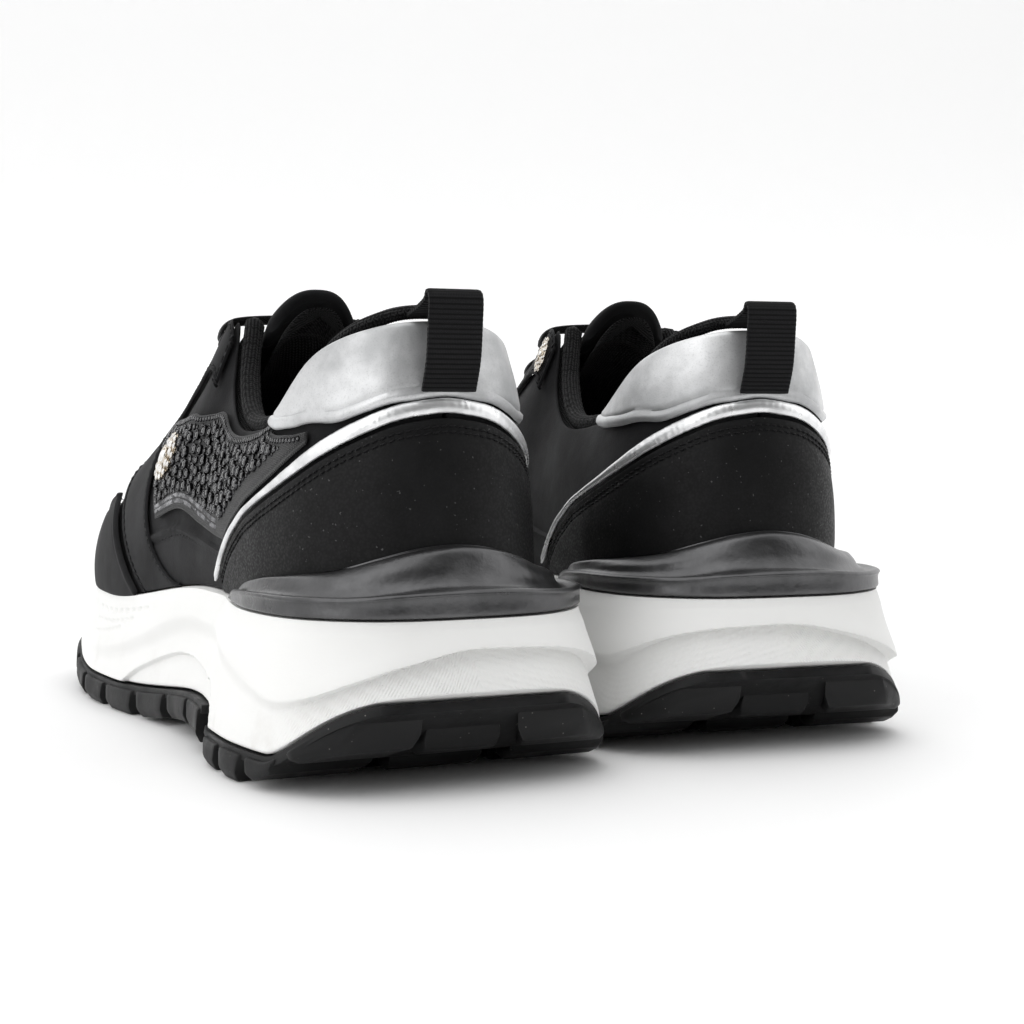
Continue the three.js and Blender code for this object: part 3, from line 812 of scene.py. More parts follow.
@dataclass(frozen=True)
class GrainLeather(Finish):
    """Pebbled leather."""

    name: str = "leather"
    dark: Colour = (0.0016, 0.0016, 0.0018)
    light: Colour = (0.0042, 0.0042, 0.0046)
    pebble: float = 1250.0
    gloss: float = 0.5

    def paint(self, g: Graph, where: Socket) -> None:
        """Lay the nodes."""
        sway = g.add("TexNoise", {"Vector": where, "Scale": 420.0}).outputs["Color"]
        inputs = {0: sway, 1: (0.0006, 0.0006, 0.0006), 2: where}
        warp = g.add("VectorMath", inputs, operation="MULTIPLY_ADD")
        pebbles = g.cells(warp.outputs[0], self.pebble, "SMOOTH_F1", 0.35)
        creases = g.noise(where, 90, 4)
        dust = g.span(g.noise(where, 900, 1), 0.735, 0.76)
        base = g.tint(g.span(creases, 0.35, 0.7), self.dark, self.light)
        g.set(Base_Color=g.tint(g.math("MULTIPLY", dust, 0.35), base, (0.16, 0.16, 0.16)))
        g.set(Roughness=g.span(pebbles, 0.1, 0.7, self.gloss - 0.06, self.gloss + 0.14))
        g.set(Specular_IOR_Level=0.2)
        pores = g.noise(where, 3800, 2)
        g.relief((pebbles, 0.0005, -0.75), (creases, 0.0012, 0.3), (pores, 0.00008, 0.3))


@dataclass(frozen=True)
class SilverLeather(Finish):
    """Foiled leather: bright, finely pebbled, greyer where the foil is rubbed."""

    name: str = "silver"

    def paint(self, g: Graph, where: Socket) -> None:
        """Lay the nodes."""
        pebbles = g.cells(where, 950, "SMOOTH_F1", 0.4)
        rubbed = g.noise(where, 34, 5, 0.6)
        foil = g.tint(g.span(rubbed, 0.36, 0.68), (0.68, 0.685, 0.69), (0.42, 0.425, 0.43))
        pits = g.span(g.noise(where, 2300, 2), 0.52, 0.72)
        g.set(Base_Color=g.tint(g.math("MULTIPLY", pits, 0.3), foil, (0.3, 0.3, 0.31)), Metallic=0.86)
        g.set(Roughness=g.span(rubbed, 0.3, 0.7, 0.42, 0.52), Coat_Weight=0.05, Coat_Roughness=0.3)
        waves, pores = g.noise(where, 60, 3), g.noise(where, 2300, 2)
        g.relief((pebbles, 0.0006, -0.95), (waves, 0.0016, 0.35), (pores, 0.00012, 0.35))


@dataclass(frozen=True)
class SilverPiping(Finish):
    """Glossy silver film over a cord, with fine creases across it."""

    name: str = "piping"

    def paint(self, g: Graph, where: Socket) -> None:
        """Lay the nodes."""
        run, _ = g.cloth()
        crease = g.wave(run, 0.0021, g.math("MULTIPLY", g.noise(where, 260, 2), 9.0))
        worn = g.noise(where, 120, 4)
        film = g.tint(g.span(worn, 0.4, 0.7), (0.86, 0.865, 0.87), (0.66, 0.665, 0.67))
        g.set(Base_Color=film, Metallic=0.8)
        g.set(Roughness=g.span(worn, 0.3, 0.7, 0.24, 0.4), Coat_Weight=0.3, Coat_Roughness=0.2)
        g.relief((crease, 0.0002, 0.2), (worn, 0.0004, 0.25))


@dataclass(frozen=True)
class RibKnit(Finish):
    """Black rib knit: ribs that follow the edge, with the loops of yarn along them, and painted shade in the
    grooves between them.
    """

    name: str = "knit"
    rib: float = 0.00105
    loop: float = 0.0011
    # Colours of the grooves, in painted shade, and of the tops of the ribs.
    dark: Colour = (0.0012, 0.0012, 0.0014)
    light: Colour = (0.03, 0.03, 0.031)

    def paint(self, g: Graph, where: Socket) -> None:
        """Lay the nodes."""
        run, rise = g.cloth()
        wander = g.math("MULTIPLY", g.noise(where, 200, 2), 1.4)
        ribs = g.wave(rise, self.rib, wander)
        phase = g.math("MULTIPLY", g.wave(rise, 2 * self.rib), math.pi)
        loops = g.wave(run, self.loop, g.math("ADD", phase, wander))
        knit = g.math("MULTIPLY", g.math("POWER", ribs, 0.7), g.span(loops, 0.0, 0.75, 0.25, 1.0))
        fuzz = g.noise(where, 5200, 2, 0.7)
        # Painted shade: the colour follows the knit's relief, dark in the grooves and light on the ribs, with
        # random fuzz.
        shade = g.math("MULTIPLY", knit, g.span(fuzz, 0.25, 0.75, 0.6, 1.15))
        g.set(Base_Color=g.tint(shade, self.dark, self.light), Roughness=g.span(knit, 0.0, 1.0, 0.97, 0.84))
        g.set(Sheen_Weight=0.06, Sheen_Roughness=0.5, Specular_IOR_Level=0.12)
        g.relief((knit, 0.00042, 0.8), (fuzz, 0.00008, 0.4))


@dataclass(frozen=True)
class Grosgrain(Finish):
    """Ribbed webbing: crosswise ribs with the warp threads over them, and painted shade between them."""

    name: str = "webbing"

    def paint(self, g: Graph, where: Socket) -> None:
        """Lay the nodes."""
        run, rise = g.cloth()
        rib = g.math("ABSOLUTE", g.math("SINE", g.math("MULTIPLY", run, math.pi / 0.0013)))
        warp = g.wave(rise, 0.00045, g.math("MULTIPLY", rib, 1.2))
        thread = g.math("MULTIPLY", g.span(rib, 0.0, 0.9, 0.15, 1.0), g.span(warp, 0.0, 1.0, 0.75, 1.0))
        fuzz = g.noise(where, 4600, 2)
        # Painted shade: the colour follows the relief of the ribs and threads, dark between them and light on
        # their tops, with random fuzz.
        shade = g.math("MULTIPLY", thread, g.span(fuzz, 0.2, 0.8, 0.5, 1.2))
        g.set(Base_Color=g.tint(shade, (0.001, 0.001, 0.0012), (0.011, 0.011, 0.012)))
        g.set(Roughness=g.span(thread, 0.0, 1.0, 0.9, 0.7), Sheen_Weight=0.04, Sheen_Roughness=0.4)
        g.set(Specular_IOR_Level=0.16)
        g.relief((thread, 0.00022, 0.7), (fuzz, 0.00006, 0.3))


@dataclass(frozen=True)
class Lacing(Finish):
    """Flat woven lace: diagonal yarns that cross, with painted shade between them."""

    name: str = "lace_weave"

    def paint(self, g: Graph, where: Socket) -> None:
        """Lay the nodes."""
        run, rise = g.cloth()
        one = g.wave(g.math("ADD", run, rise), 0.0011)
        two = g.wave(g.math("SUBTRACT", run, rise), 0.0011)
        weave = g.math("MAXIMUM", one, two)
        fuzz = g.noise(where, 4200, 2)
        # Painted shade: the colour follows the weave's relief, dark between the yarns and light on them, with
        # random fuzz.
        shade = g.math("MULTIPLY", weave, fuzz)
        g.set(Base_Color=g.tint(shade, (0.002, 0.002, 0.0022), (0.02, 0.02, 0.021)))
        g.set(Roughness=g.span(fuzz, 0.2, 0.8, 0.92, 0.75), Sheen_Weight=0.25, Sheen_Roughness=0.4)
        g.relief((weave, 0.00028, 0.7), (fuzz, 0.00006, 0.3))


@dataclass(frozen=True)
class MouldedFoam(Finish):
    """White moulded foam with a fine skin, a stippled band and a little dust low down."""

    name: str = "foam"
    band: str = "stipple"

    def paint(self, g: Graph, where: Socket) -> None:
        """Lay the nodes."""
        run, rise = g.cloth()
        mask = g.add("Attribute", attribute_name=self.band).outputs["Fac"]
        slant = g.wave(g.math("ADD", g.math("MULTIPLY", run, 0.62), g.math("MULTIPLY", rise, 0.78)), 0.00135)
        rows = g.wave(g.math("SUBTRACT", g.math("MULTIPLY", run, 0.8), g.math("MULTIPLY", rise, 0.5)), 0.0021)
        stipple = g.math("MULTIPLY", g.math("MULTIPLY", slant, g.span(rows, 0.0, 0.7, 0.35, 1.0)), mask)
        skin = g.noise(where, 1900, 3, 0.6)
        low = g.add("SeparateXYZ", {0: where}).outputs[2]
        dust = g.math("MULTIPLY", g.span(low, 0.03, 0.008), g.span(g.noise(where, 55, 5, 0.65), 0.5, 0.78))
        white = g.tint(g.noise(where, 26, 3), (0.80, 0.80, 0.785), (0.86, 0.86, 0.85))
        scuffs = g.span(g.noise(where, 700, 4, 0.7), 0.69, 0.76)
        colour = g.tint(g.math("MULTIPLY", dust, 0.3), white, (0.52, 0.5, 0.46))
        g.set(Base_Color=g.tint(g.math("MULTIPLY", scuffs, 0.16), colour, (0.42, 0.41, 0.39)))
        g.set(Roughness=g.span(skin, 0.3, 0.7, 0.52, 0.64), Specular_IOR_Level=0.36)
        g.relief((stipple, 0.00028, 0.55), (skin, 0.00009, 0.3), (g.noise(where, 240, 2), 0.0003, 0.12))


@dataclass(frozen=True)
class TreadRubber(Finish):
    """Black rubber, matt, with pale dust in its pores and lighter convex edges, partly rubbed wear and partly
    painted highlight.
    """

    name: str = "rubber"

    def paint(self, g: Graph, where: Socket) -> None:
        """Lay the nodes."""
        skin = g.noise(where, 1400, 4, 0.6)
        cloud = g.noise(where, 70, 4, 0.6)
        specks = g.span(g.cells(where, 520), 0.13, 0.06)
        spots = g.math("MULTIPLY", specks, g.span(g.noise(where, 180, 2), 0.52, 0.62))
        # Convex edges are lightened: partly rubbed wear, partly a painted highlight.
        edge = g.span(g.add("NewGeometry").outputs["Pointiness"], 0.52, 0.6)
        base = g.tint(g.span(cloud, 0.35, 0.7), (0.003, 0.003, 0.0033), (0.0095, 0.0095, 0.01))
        rubbed = g.tint(g.math("MULTIPLY", edge, 0.5), base, (0.05, 0.05, 0.05))
        g.set(Base_Color=g.tint(g.math("MULTIPLY", spots, 0.55), rubbed, (0.3, 0.29, 0.27)))
        g.set(Roughness=g.span(cloud, 0.3, 0.7, 0.42, 0.66), Specular_IOR_Level=0.24)
        g.relief((skin, 0.00012, 0.35), (cloud, 0.0006, 0.2))


@dataclass(frozen=True)
class PearlClip(Finish):
    """Moulded clip: dark pearl with a fine leather grain and a satin coat."""

    name: str = "clip"

    def paint(self, g: Graph, where: Socket) -> None:
        """Lay the nodes."""
        grain = g.cells(where, 1150, "SMOOTH_F1", 0.4)
        cloud = g.noise(where, 48, 5, 0.62)
        scratch = g.span(g.noise(where, 640, 5, 0.75), 0.6, 0.74)
        base = g.tint(g.span(cloud, 0.36, 0.66), (0.075, 0.075, 0.077), (0.12, 0.12, 0.123))
        g.set(Base_Color=g.tint(g.math("MULTIPLY", scratch, 0.15), base, (0.24, 0.24, 0.245)), Metallic=0.85)
        g.set(Roughness=g.span(cloud, 0.3, 0.7, 0.27, 0.4), Coat_Weight=0.12, Coat_Roughness=0.2)
        g.relief((grain, 0.00035, -0.5), (cloud, 0.002, 0.35), (g.noise(where, 3000, 2), 0.00008, 0.35))


@dataclass(frozen=True)
class SetStone(Finish):
    """Small set stones or their metal: one colour each, with polish marks."""

    name: str
    dark: Colour
    light: Colour
    metal: float
    rough: float
    coat: float = 0.0

    def paint(self, g: Graph, where: Socket) -> None:
        """Lay the nodes."""
        each = g.add("TexVoronoi", {"Vector": where, "Scale": 420.0}).outputs["Color"]
        pick = g.add("SeparateColor", {0: each}).outputs[0]
        marks = g.noise(where, 3200, 3, 0.6)
        g.set(Base_Color=g.tint(pick, self.dark, self.light), Metallic=self.metal)
        g.set(Roughness=g.span(marks, 0.3, 0.7, self.rough * 0.7, self.rough * 1.4))
        g.set(Coat_Weight=self.coat, Coat_Roughness=0.05, Specular_IOR_Level=0.7)
        g.relief((marks, 0.00004, 0.25))


@dataclass(frozen=True)
class Cloth(Finish):
    """Plain woven or pressed cloth for what lies inside, with painted shade in the hollows of its weave."""

    name: str
    dark: Colour
    light: Colour
    pitch: float = 0.0009

    def paint(self, g: Graph, where: Socket) -> None:
        """Lay the nodes."""
        split = g.add("SeparateXYZ", {0: where}).outputs
        warp, weft = g.wave(split[1], self.pitch), g.wave(g.math("ADD", split[0], split[2]), self.pitch)
        weave = g.math("MULTIPLY", warp, weft)
        fuzz = g.noise(where, 2400, 3)
        # Painted shade: the colour is darker in the weave's hollows and lighter on its threads, mixed with
        # random fuzz.
        shade = g.math("ADD", g.math("MULTIPLY", weave, 0.6), g.math("MULTIPLY", fuzz, 0.4))
        g.set(Base_Color=g.tint(shade, self.dark, self.light))
        g.set(Roughness=g.span(fuzz, 0.2, 0.8, 0.96, 0.82), Sheen_Weight=0.2, Sheen_Roughness=0.5)
        g.relief((weave, 0.00025, 0.6), (fuzz, 0.0001, 0.35))


@dataclass(frozen=True)
class Thread(Finish):
    """Twisted sewing thread, with painted shade in the grooves of its twist."""

    name: str = "thread"
    dark: Colour = (0.0015, 0.0015, 0.0018)
    light: Colour = (0.009, 0.009, 0.01)

    def paint(self, g: Graph, where: Socket) -> None:
        """Lay the nodes."""
        split = g.add("SeparateXYZ", {0: where}).outputs
        twist = g.wave(g.math("ADD", g.math("ADD", split[0], split[1]), split[2]), 0.00042)
        # Painted shade: the colour follows the twist, dark in its grooves and light on its strands.
        g.set(Base_Color=g.tint(twist, self.dark, self.light), Roughness=g.span(twist, 0.0, 1.0, 0.7, 0.45))
        g.set(Specular_IOR_Level=0.2)
        g.relief((twist, 0.00012, 0.6), (g.noise(where, 5000, 2), 0.00003, 0.3))


@dataclass(frozen=True)
class Paper(Finish):
    """Matt white paper with a faint tooth; far behind the pair it glows a little, painted light that makes it
    brighter.
    """

    name: str = "floor_paper"

    def paint(self, g: Graph, where: Socket) -> None:
        """Lay the nodes."""
        tooth = g.noise(where, 900, 3)
        # Painted light: the paper glows, more the farther behind the pair it lies, from 0.5 m to 5 m.
        far = g.span(g.add("SeparateXYZ", {0: where}).outputs[1], 0.5, 5.0, 0.0, 0.27)
        g.set(Emission_Color=(1.0, 1.0, 1.0), Emission_Strength=far)
        g.set(Base_Color=g.tint(tooth, (0.925, 0.925, 0.925), (0.945, 0.945, 0.945)), Roughness=0.62)
        g.relief((tooth, 0.00005, 0.1))


# ---- Sole ----------------------------------------------------------------------------------------
def centre_line(points: Values) -> Values:
    """The shoe's middle line beside each of some points, at their height."""
    middle = points.copy()
    middle[..., 0] = swing(points[..., 1])
    return middle


def inward(ring: Values, shares: Sequence[float]) -> Values:
    """Rows that close a ring towards the shoe's middle line."""
    return np.stack([mix(ring, centre_line(ring), s) for s in shares], 1)


@dataclass
class Midsole:
    """The foam midsole: a heel block, an arch recess and a forefoot, with a swept crease along its side."""

    cells: int = 900
    rows: int = 84
    crease_depth: float = 2.1
    recess_depth: float = 1.7
    crease: Curve = profile(
        (-14, 0.2), (-9.1, 0.36), (-6.4, 0.68), (-4.1, 0.67), (-3.1, 0.57), (-2.3, 0.48), (-1.5, 0.53),
        (-0.5, 0.6), (0.1, 0.6), (0.7, 0.43), (1.2, 0.31), (1.6, 0.29), (2.1, 0.35), (2.6, 0.45), (3.1, 0.55),
        (4.1, 0.66), (5.2, 0.67), (6.1, 0.69), (6.8, 0.66), (7.8, 0.53), (9.1, 0.36), (14, 0.2),
    )
    arch: Curve = profile(
        (3.98, 0.0), (4.06, 0.17), (4.4, 0.23), (4.9, 0.26), (5.4, 0.3), (6.0, 0.345), (6.5, 0.36),
        (7.1, 0.32), (7.6, 0.25), (8.15, 0.12), (8.4, 0.0),
    )

    def wall(self, u: Values, s: Values) -> tuple[Values, Values]:
        """The side wall, with its relief.

        Args:
            u: Stations.
            s: Heights on the wall, 0 at its foot and 1 at the shelf.

        Returns:
            The points, and where the stippled band lies.
        """
        low, high = LAST.tread(u), LAST.shelf(u)
        out = LAST.outward(u)
        point = low + (high - low) * s[..., None]
        around = np.where(u > STATIONS, u - ROUND, u)
        f = s - self.crease(around)
        heel = 1 - smooth(1.5, 3.2, np.abs(around))
        width = mix(0.16, 0.028, heel)
        above = np.exp(-(np.maximum(f, 0) / 0.3) ** 2)
        below = -0.75 * np.clip(1 + f / 0.42, 0, 1)
        toe = 1 - smooth(8.6, 11.5, np.abs(around))
        depth = self.crease_depth * mix(0.62, 1, heel) * toe
        bulge = depth * mix(below, above, smooth(-width, width * 0.35, f))
        bulge -= 0.5 * smooth(0.86, 1, s)
        bulge -= 1.5 * smooth(40, 90, point[..., 1]) * 4 * s * (1 - s)
        inside = (np.abs(around) > 3.98) & (np.abs(around) < 8.4)
        bulge -= self.recess_depth * smooth(0.0, 0.035, self.arch(np.abs(around)) - s) * inside
        bulge -= 0.9 * quarter_round(s, 0.035)
        bulge -= self.dimples(np.abs(around), s)
        band = smooth(0.0, 0.03, -f) * (1 - smooth(1.6, 2.6, np.abs(around))) * smooth(0.0, 0.04, s)
        return point + out * bulge[..., None], band

    def dimples(self, u: Values, s: Values) -> Values:
        """Depth of the three rows of small slots beside the toe."""
        depth = np.zeros_like(u)
        rows = ((7.9, 0.83, 10.2, 0.8), (8.5, 0.72, 10.3, 0.62), (9.0, 0.61, 10.3, 0.46))
        for start, low, end, high in rows:
            for k in range(9):
                share = k / 8
                across = (u - mix(start, end, share)) / 0.075
                up = (s - mix(low, high, share)) / 0.026
                depth += 0.7 * np.exp(-(across**4) - up**4)
        return depth

    def build(self) -> Object:
        """Shape the midsole."""
        around = np.linspace(0, ROUND, self.cells + 1)
        up = 1 - (1 - np.linspace(0, 1, self.rows)) ** 1.15
        u, s = np.meshgrid(around, up, indexing="ij")
        wall, band = self.wall(u, s)
        foot = wall[:, 0]
        seat = LAST.seat(around)
        top = seat + LAST.outward(around)
        top[:, 2] = seat[:, 2] - GAP
        bottom = inward(foot, (1, 0.7, 0.4, 0.15, 0.04))
        lip = np.stack([mix(wall[:, -1], top, k) + [0, 0, 0.25 * k] for k in (0.12, 0.5)], 1)
        cover = inward(top, (0, 0.15, 0.4, 0.7, 1))
        obj = grid("midsole", np.concatenate([bottom, wall, lip, cover], 1))
        spots = np.rint(wall.reshape(-1, 3).astype(np.float32) * FINENESS).astype(np.int64)
        marks = {tuple(spot): share for spot, share in zip(spots, band.ravel())}
        close(obj)
        corners = np.rint(coordinates(obj) * FINENESS).astype(np.int64)
        values = [marks.get(tuple(corner), 0.0) for corner in corners]
        stipple = obj.data.attributes.new("stipple", "FLOAT", "POINT")
        stipple.data.foreach_set("value", np.array(values, np.float32))
        return finished(obj, 50)


@dataclass
class Outsole:
    """Rubber film with lugs: a row along each side, and a row down the middle."""

    start: float
    end: float
    pitch: float
    film: float = 2.6
    groove: float = 4.6
    side_lug: tuple[float, float] = (0.42, 1.03)
    middle_lug: tuple[float, float] = (-0.28, 0.28)

    def __post_init__(self) -> None:
        """Read the tread's outline once, as half widths along the shoe."""
        u = np.linspace(0, STATIONS, 561)
        edge = LAST.tread(u)
        self.along = edge[:, 1]
        self.half = np.abs(edge[:, 0] - swing(edge[:, 1]))

    def point(self, y: Values, share: Values, z: Values) -> Values:
        """A point under the sole, at a share of its half width; the outer side has negative shares."""
        half = np.interp(y, self.along, self.half)
        return np.stack(np.broadcast_arrays(swing(y) + share * half, y, z), -1)

    def plate(self) -> Object:
        """The film."""
        turn = np.linspace(0, 1, 60)
        first, last = max(self.start, self.along[0]), min(self.end, self.along[-1])
        y = mix(first, last, 0.5 - 0.5 * np.cos(math.pi * turn))
        share = np.linspace(-1, 1, 41)
        y, share = np.meshgrid(y, share, indexing="ij")
        flat = self.point(y, share, tread_height(y) - GAP)
        obj = grid("film", flat)
        face_along(obj, np.broadcast_to(UP, flat.shape))
        apply(obj, "SOLIDIFY", thickness=self.film, offset=-1)
        close(obj, fill=False)
        return apply(obj, "BEVEL", width=0.45, segments=2, limit_method="ANGLE", angle_limit=1.0)

    def lug(self, start: float, end: float, inner: float, outer: float) -> Object:
        """One lug: tapered to its foot, with a chamfered toe and a shallow step in its side.

        Args:
            start: Where it starts along the shoe.
            end: Where it ends.
            inner: Its inner side, as a share of the half width.
            outer: Its outer side.

        Returns:
            The lug.
        """
        y = np.linspace(start, end, 9)
        levels = (0.0, 0.3, 0.42, 0.8, 1.0)
        taper = (0.9, 0.985, 1.0, 0.99, 0.97)
        slope = (2.2, 0.9, 0.6, 0.1, -0.3)
        walls = []
        for level, narrow, draft in zip(levels, taper, slope):
            middle = (inner + outer) / 2
            along = mix(start + draft, end - draft, (y - start) / (end - start))
            low = lug_height(along)
            high = tread_height(along) - GAP - self.film / 2
            a, b = (middle + (edge - middle) * narrow for edge in (inner, outer))
            z = mix(low, np.maximum(high, low + 1), level)
            walls.append((self.point(along, a, z), self.point(along, b, z)))
        left = [w[0] for w in walls]
        right = [w[1] for w in walls][::-1]
        foot = [mix(right[-1], left[0], k) for k in (0.25, 0.5, 0.75)]
        head = [mix(left[-1], right[0], k) for k in (0.33, 0.66)]
        ring = [*left, *head, *right, *foot, left[0]]
        obj = close(grid("lug", np.stack(ring, 1)))
        return apply(obj, "BEVEL", width=0.55, segments=2, limit_method="ANGLE", angle_limit=0.7)

    def build(self) -> Object:
        """Shape the whole outsole piece."""
        rows = max(1, round((self.end - self.start) / self.pitch))
        length = (self.end - self.start) / rows
        parts = [self.plate()]
        inner, outer = self.side_lug
        for row in range(rows):
            start = self.start + row * length + self.groove / 2
            end = self.start + (row + 1) * length - self.groove / 2
            parts += [self.lug(start, end, side * inner, side * outer) for side in (-1, 1)]
            parts.append(self.lug(start + self.groove, end, *self.middle_lug))
        return finished(join("outsole", parts), 35)


@dataclass
class HeelClip:
    """The moulded clip round the heel: an upright band, a ridge, and a wavy face up to a thin lip."""

    tip: float = 4.0
    cells: int = 300
    band: Curve = profile(
        (-1, 4.9), (0, 5.9), (0.6, 5.6), (1.3, 4.6), (2, 4.4), (3, 4.0), (3.7, 2.6), (4, 1.0)
    )
    peak: Curve = profile(
        (-0.5, 15.7), (0, 16.5), (0.5, 15.7), (1, 13.6), (1.5, 11.2), (2.2, 9.8), (2.8, 9.4), (3.4, 7.4),
        (3.8, 4.6), (4, 2.2),
    )
    wall: float = 4.7

    def build(self) -> Object:
        """Shape the clip."""
        share = np.linspace(-1, 1, self.cells)
        u = self.tip * np.sign(share) * (1 - (1 - np.abs(share)) ** 1.35)
        a = np.abs(u)
        edge, out, up = LAST.shelf(u), LAST.outward(u), UP
        foot = edge[:, 2] + GAP
        band, peak = self.band(a), self.peak(a)
        face = LAST.over(u, peak / UPPER_HEIGHT, self.wall)
        face[:, 2] = np.maximum(face[:, 2], foot + band + 0.4)
        base = edge.copy()
        base[:, 2] = foot
        span = face - (base + up * band[:, None])
        wave = 1 + 0.5 * np.cos(2.2 * u + 0.5)
        room = smooth(0.0, 0.6, self.tip - a)
        knots = [
            base - out * 0.7, base + out * 0.1 + up * 0.5, base + up * (0.6 * band)[:, None],
            base + out * 0.15 + up * (band - 0.7)[:, None],
            base + out * 0.55 * room[:, None] + up * (band + 0.15)[:, None],
            base - out * 0.3 + up * (band + 0.75)[:, None] + span * 0.03,
        ]
        for k, dip in ((0.2, -2.0), (0.4, -1.5), (0.6, 0.5), (0.8, 1.6), (0.93, 0.9)):
            sway = (dip * np.where(dip > 0, wave, 2 - wave) * room)[:, None]
            knots.append(base + up * band[:, None] + span * k + (out * 0.6 + up * 0.5) * sway)
        lip = smooth(1.3, 1.7, a) * (1 - smooth(3.1, 3.5, a))
        knots += [
            face + (out * 0.3 - up * 0.45 - out * 1.2 * lip[:, None]), face + out * 0.1,
            face - out * 0.55 - up * 0.15,
        ]
        rows = []
        order = np.stack(knots, 1)
        steps = np.linspace(0, order.shape[1] - 1, 62)
        before, after = 2 * order[:, :1] - order[:, 1:2], 2 * order[:, -1:] - order[:, -2:-1]
        padded = np.concatenate([before, order, after], 1)
        for step in steps:
            k = min(int(step), order.shape[1] - 2)
            f = step - k
            rows.append(curve_between(*(padded[:, k + n] for n in range(4)), f))
        root = LAST.over(u, 0.0, self.wall + 0.3)
        root[:, 2] = foot
        thirds = (0.33, 0.66, 1)
        back = [mix(rows[-1], root, k) for k in thirds] + [mix(root, rows[0], k) for k in thirds]
        obj = close(grid("clip", np.stack(rows + back, 1)))
        return finished(obj, 50)


# ---- Sewn panels ---------------------------------------------------------------------------------
class Edge(Enum):
    """An edge of a panel."""

    START = 0
    END = 1
    LOW = 2
    HIGH = 3


@dataclass(frozen=True)
class Seam:
    """Rows of stitches beside one edge of a panel, in the furrow that they pull."""

    edge: Edge
    insets: tuple[float, ...] = (2.2,)
    stitch: float = 2.3
    pitch: float = 3.1
    furrow: float = 0.28


@dataclass
class Panel:
    """A panel of the upper on the last, with rounded edges and the furrows of its seams."""

    start: tuple[float, float]
    end: tuple[float, float]
    low: Curve
    high: Curve
    inner: float
    outer: float
    seams: tuple[Seam, ...] = ()
    cell: float = 1.1
    swell: float = 0.0
    fold: tuple[Edge, ...] = ()
    raised: Callable[[Values, Values], Values] | None = None
    bow: float = 1.0

    def stations(self, a: Values, b: Values) -> tuple[Values, Values]:
        """Where shares across and up a panel lie on the last."""
        u = mix(mix(self.start[0], self.start[1], b**self.bow), mix(self.end[0], self.end[1], b), a)
        return u, mix(self.low(u), self.high(u), b)

    def lay(self) -> None:
        """Lay the panel's grid on the last."""
        rough = np.linspace(0, 1, 60)
        u, t = self.stations(*np.meshgrid(rough, rough, indexing="ij"))
        ground = LAST.surface(u, t)
        a = fine(lengths(ground, 0)[-1].mean(), self.cell)
        b = fine(lengths(ground, 1)[:, -1].mean(), self.cell)
        u, t = self.stations(*np.meshgrid(a, b, indexing="ij"))
        self.u, self.t = u, t
        self.ground = LAST.over(u, t, self.inner)
        self.normals = LAST.normal(u, t)
        across, up = lengths(self.ground, 0), lengths(self.ground, 1)
        self.far = {
            Edge.START: across, Edge.END: across[-1:] - across,
            Edge.LOW: up, Edge.HIGH: up[:, -1:] - up,
        }

    def depth(self) -> Values:
        """Thickness at each corner of the grid."""
        nearest = np.minimum.reduce(list(self.far.values()))
        depth = np.full(nearest.shape, self.outer - self.inner)
        depth += self.swell * smooth(1, 14, nearest)
        depth -= 0.45 * quarter_round(nearest, 0.6)
        for seam in self.seams:
            for inset in seam.insets:
                depth -= seam.furrow * np.exp(-(((self.far[seam.edge] - inset) / 0.55) ** 2))
        for edge in self.fold:
            away = self.far[edge]
            depth += 0.35 * smooth(1.9, 1.3, away) * smooth(0, 0.5, away)
        if self.raised is not None:
            depth += self.raised(self.u, self.t)
        return np.maximum(depth, 0.35)

    def build(self, name: str) -> Object:
        """Shape the panel."""
        self.lay()
        depth = self.depth()
        outer = self.ground + self.normals * depth[..., None]
        obj = grid(name, outer)
        face_along(obj, self.normals)
        apply(obj, "SOLIDIFY", thickness=(self.outer - self.inner) * 0.75, offset=-1)
        self.top = outer
        return finished(obj, 50)

    def sewn(self, spread: float = 0.0) -> list[Values]:
        """Places of the panel's stitches.

        Args:
            spread: How far they stand off the furrow's floor.

        Returns:
            Their transforms, seam by seam.
        """
        places = []
        for seam in self.seams:
            grid_far, top, normal = self.far[seam.edge], self.top, self.normals
            if seam.edge in (Edge.START, Edge.END):
                grid_far, top, normal = grid_far.T, top.transpose(1, 0, 2), normal.transpose(1, 0, 2)
            if seam.edge in (Edge.END, Edge.HIGH):
                grid_far, top, normal = grid_far[:, ::-1], top[:, ::-1], normal[:, ::-1]
            for inset in seam.insets:
                line, lean = (
                    np.array([
                        [np.interp(inset, far, row[:, k]) for k in range(3)] for far, row in zip(grid_far, rows)
                    ])
                    for rows in (top, normal)
                )
                places.append(stitches(line[2:-2], unit(lean[2:-2]), seam.pitch, seam.stitch, spread))
        return places


def stitches(
    line: Values, lean: Values, pitch: float, length: float, lift: float = 0.0, slant: float = 0.12
) -> Values:
    """Transforms of stitches along a line.

    Args:
        line: The seam.
        lean: The cloth's normals along it.
        pitch: From stitch to stitch.
        length: One stitch.
        lift: How far they stand off the line.
        slant: How much each is turned from the line.

    Returns:
        Transforms as (count, 3, 4).
    """
    rows, _ = even(line, pitch)
    place, up = read(line, rows), unit(read(lean, rows))
    along = unit(read(tangents(line), rows))
    side = unit(np.cross(up, along))
    along = unit(along + slant * side)
    side = np.cross(up, along)
    frame = np.stack([along * length / 2, side, up, place + up * lift], -1)
    return frame


def stitch_model(thick: float = 0.3) -> Object:
    """One stitch, one unit long to each side: a short rounded thread with sunk ends."""
    share = np.linspace(-1, 1, 7)
    line = np.stack([share, 0 * share, 0.16 - 0.42 * share**4], -1)
    return tube("stitch", line, np.tile([0, 1.0, 0], (7, 1)), thick * np.sqrt(1.02 - share**4), thick, 5)


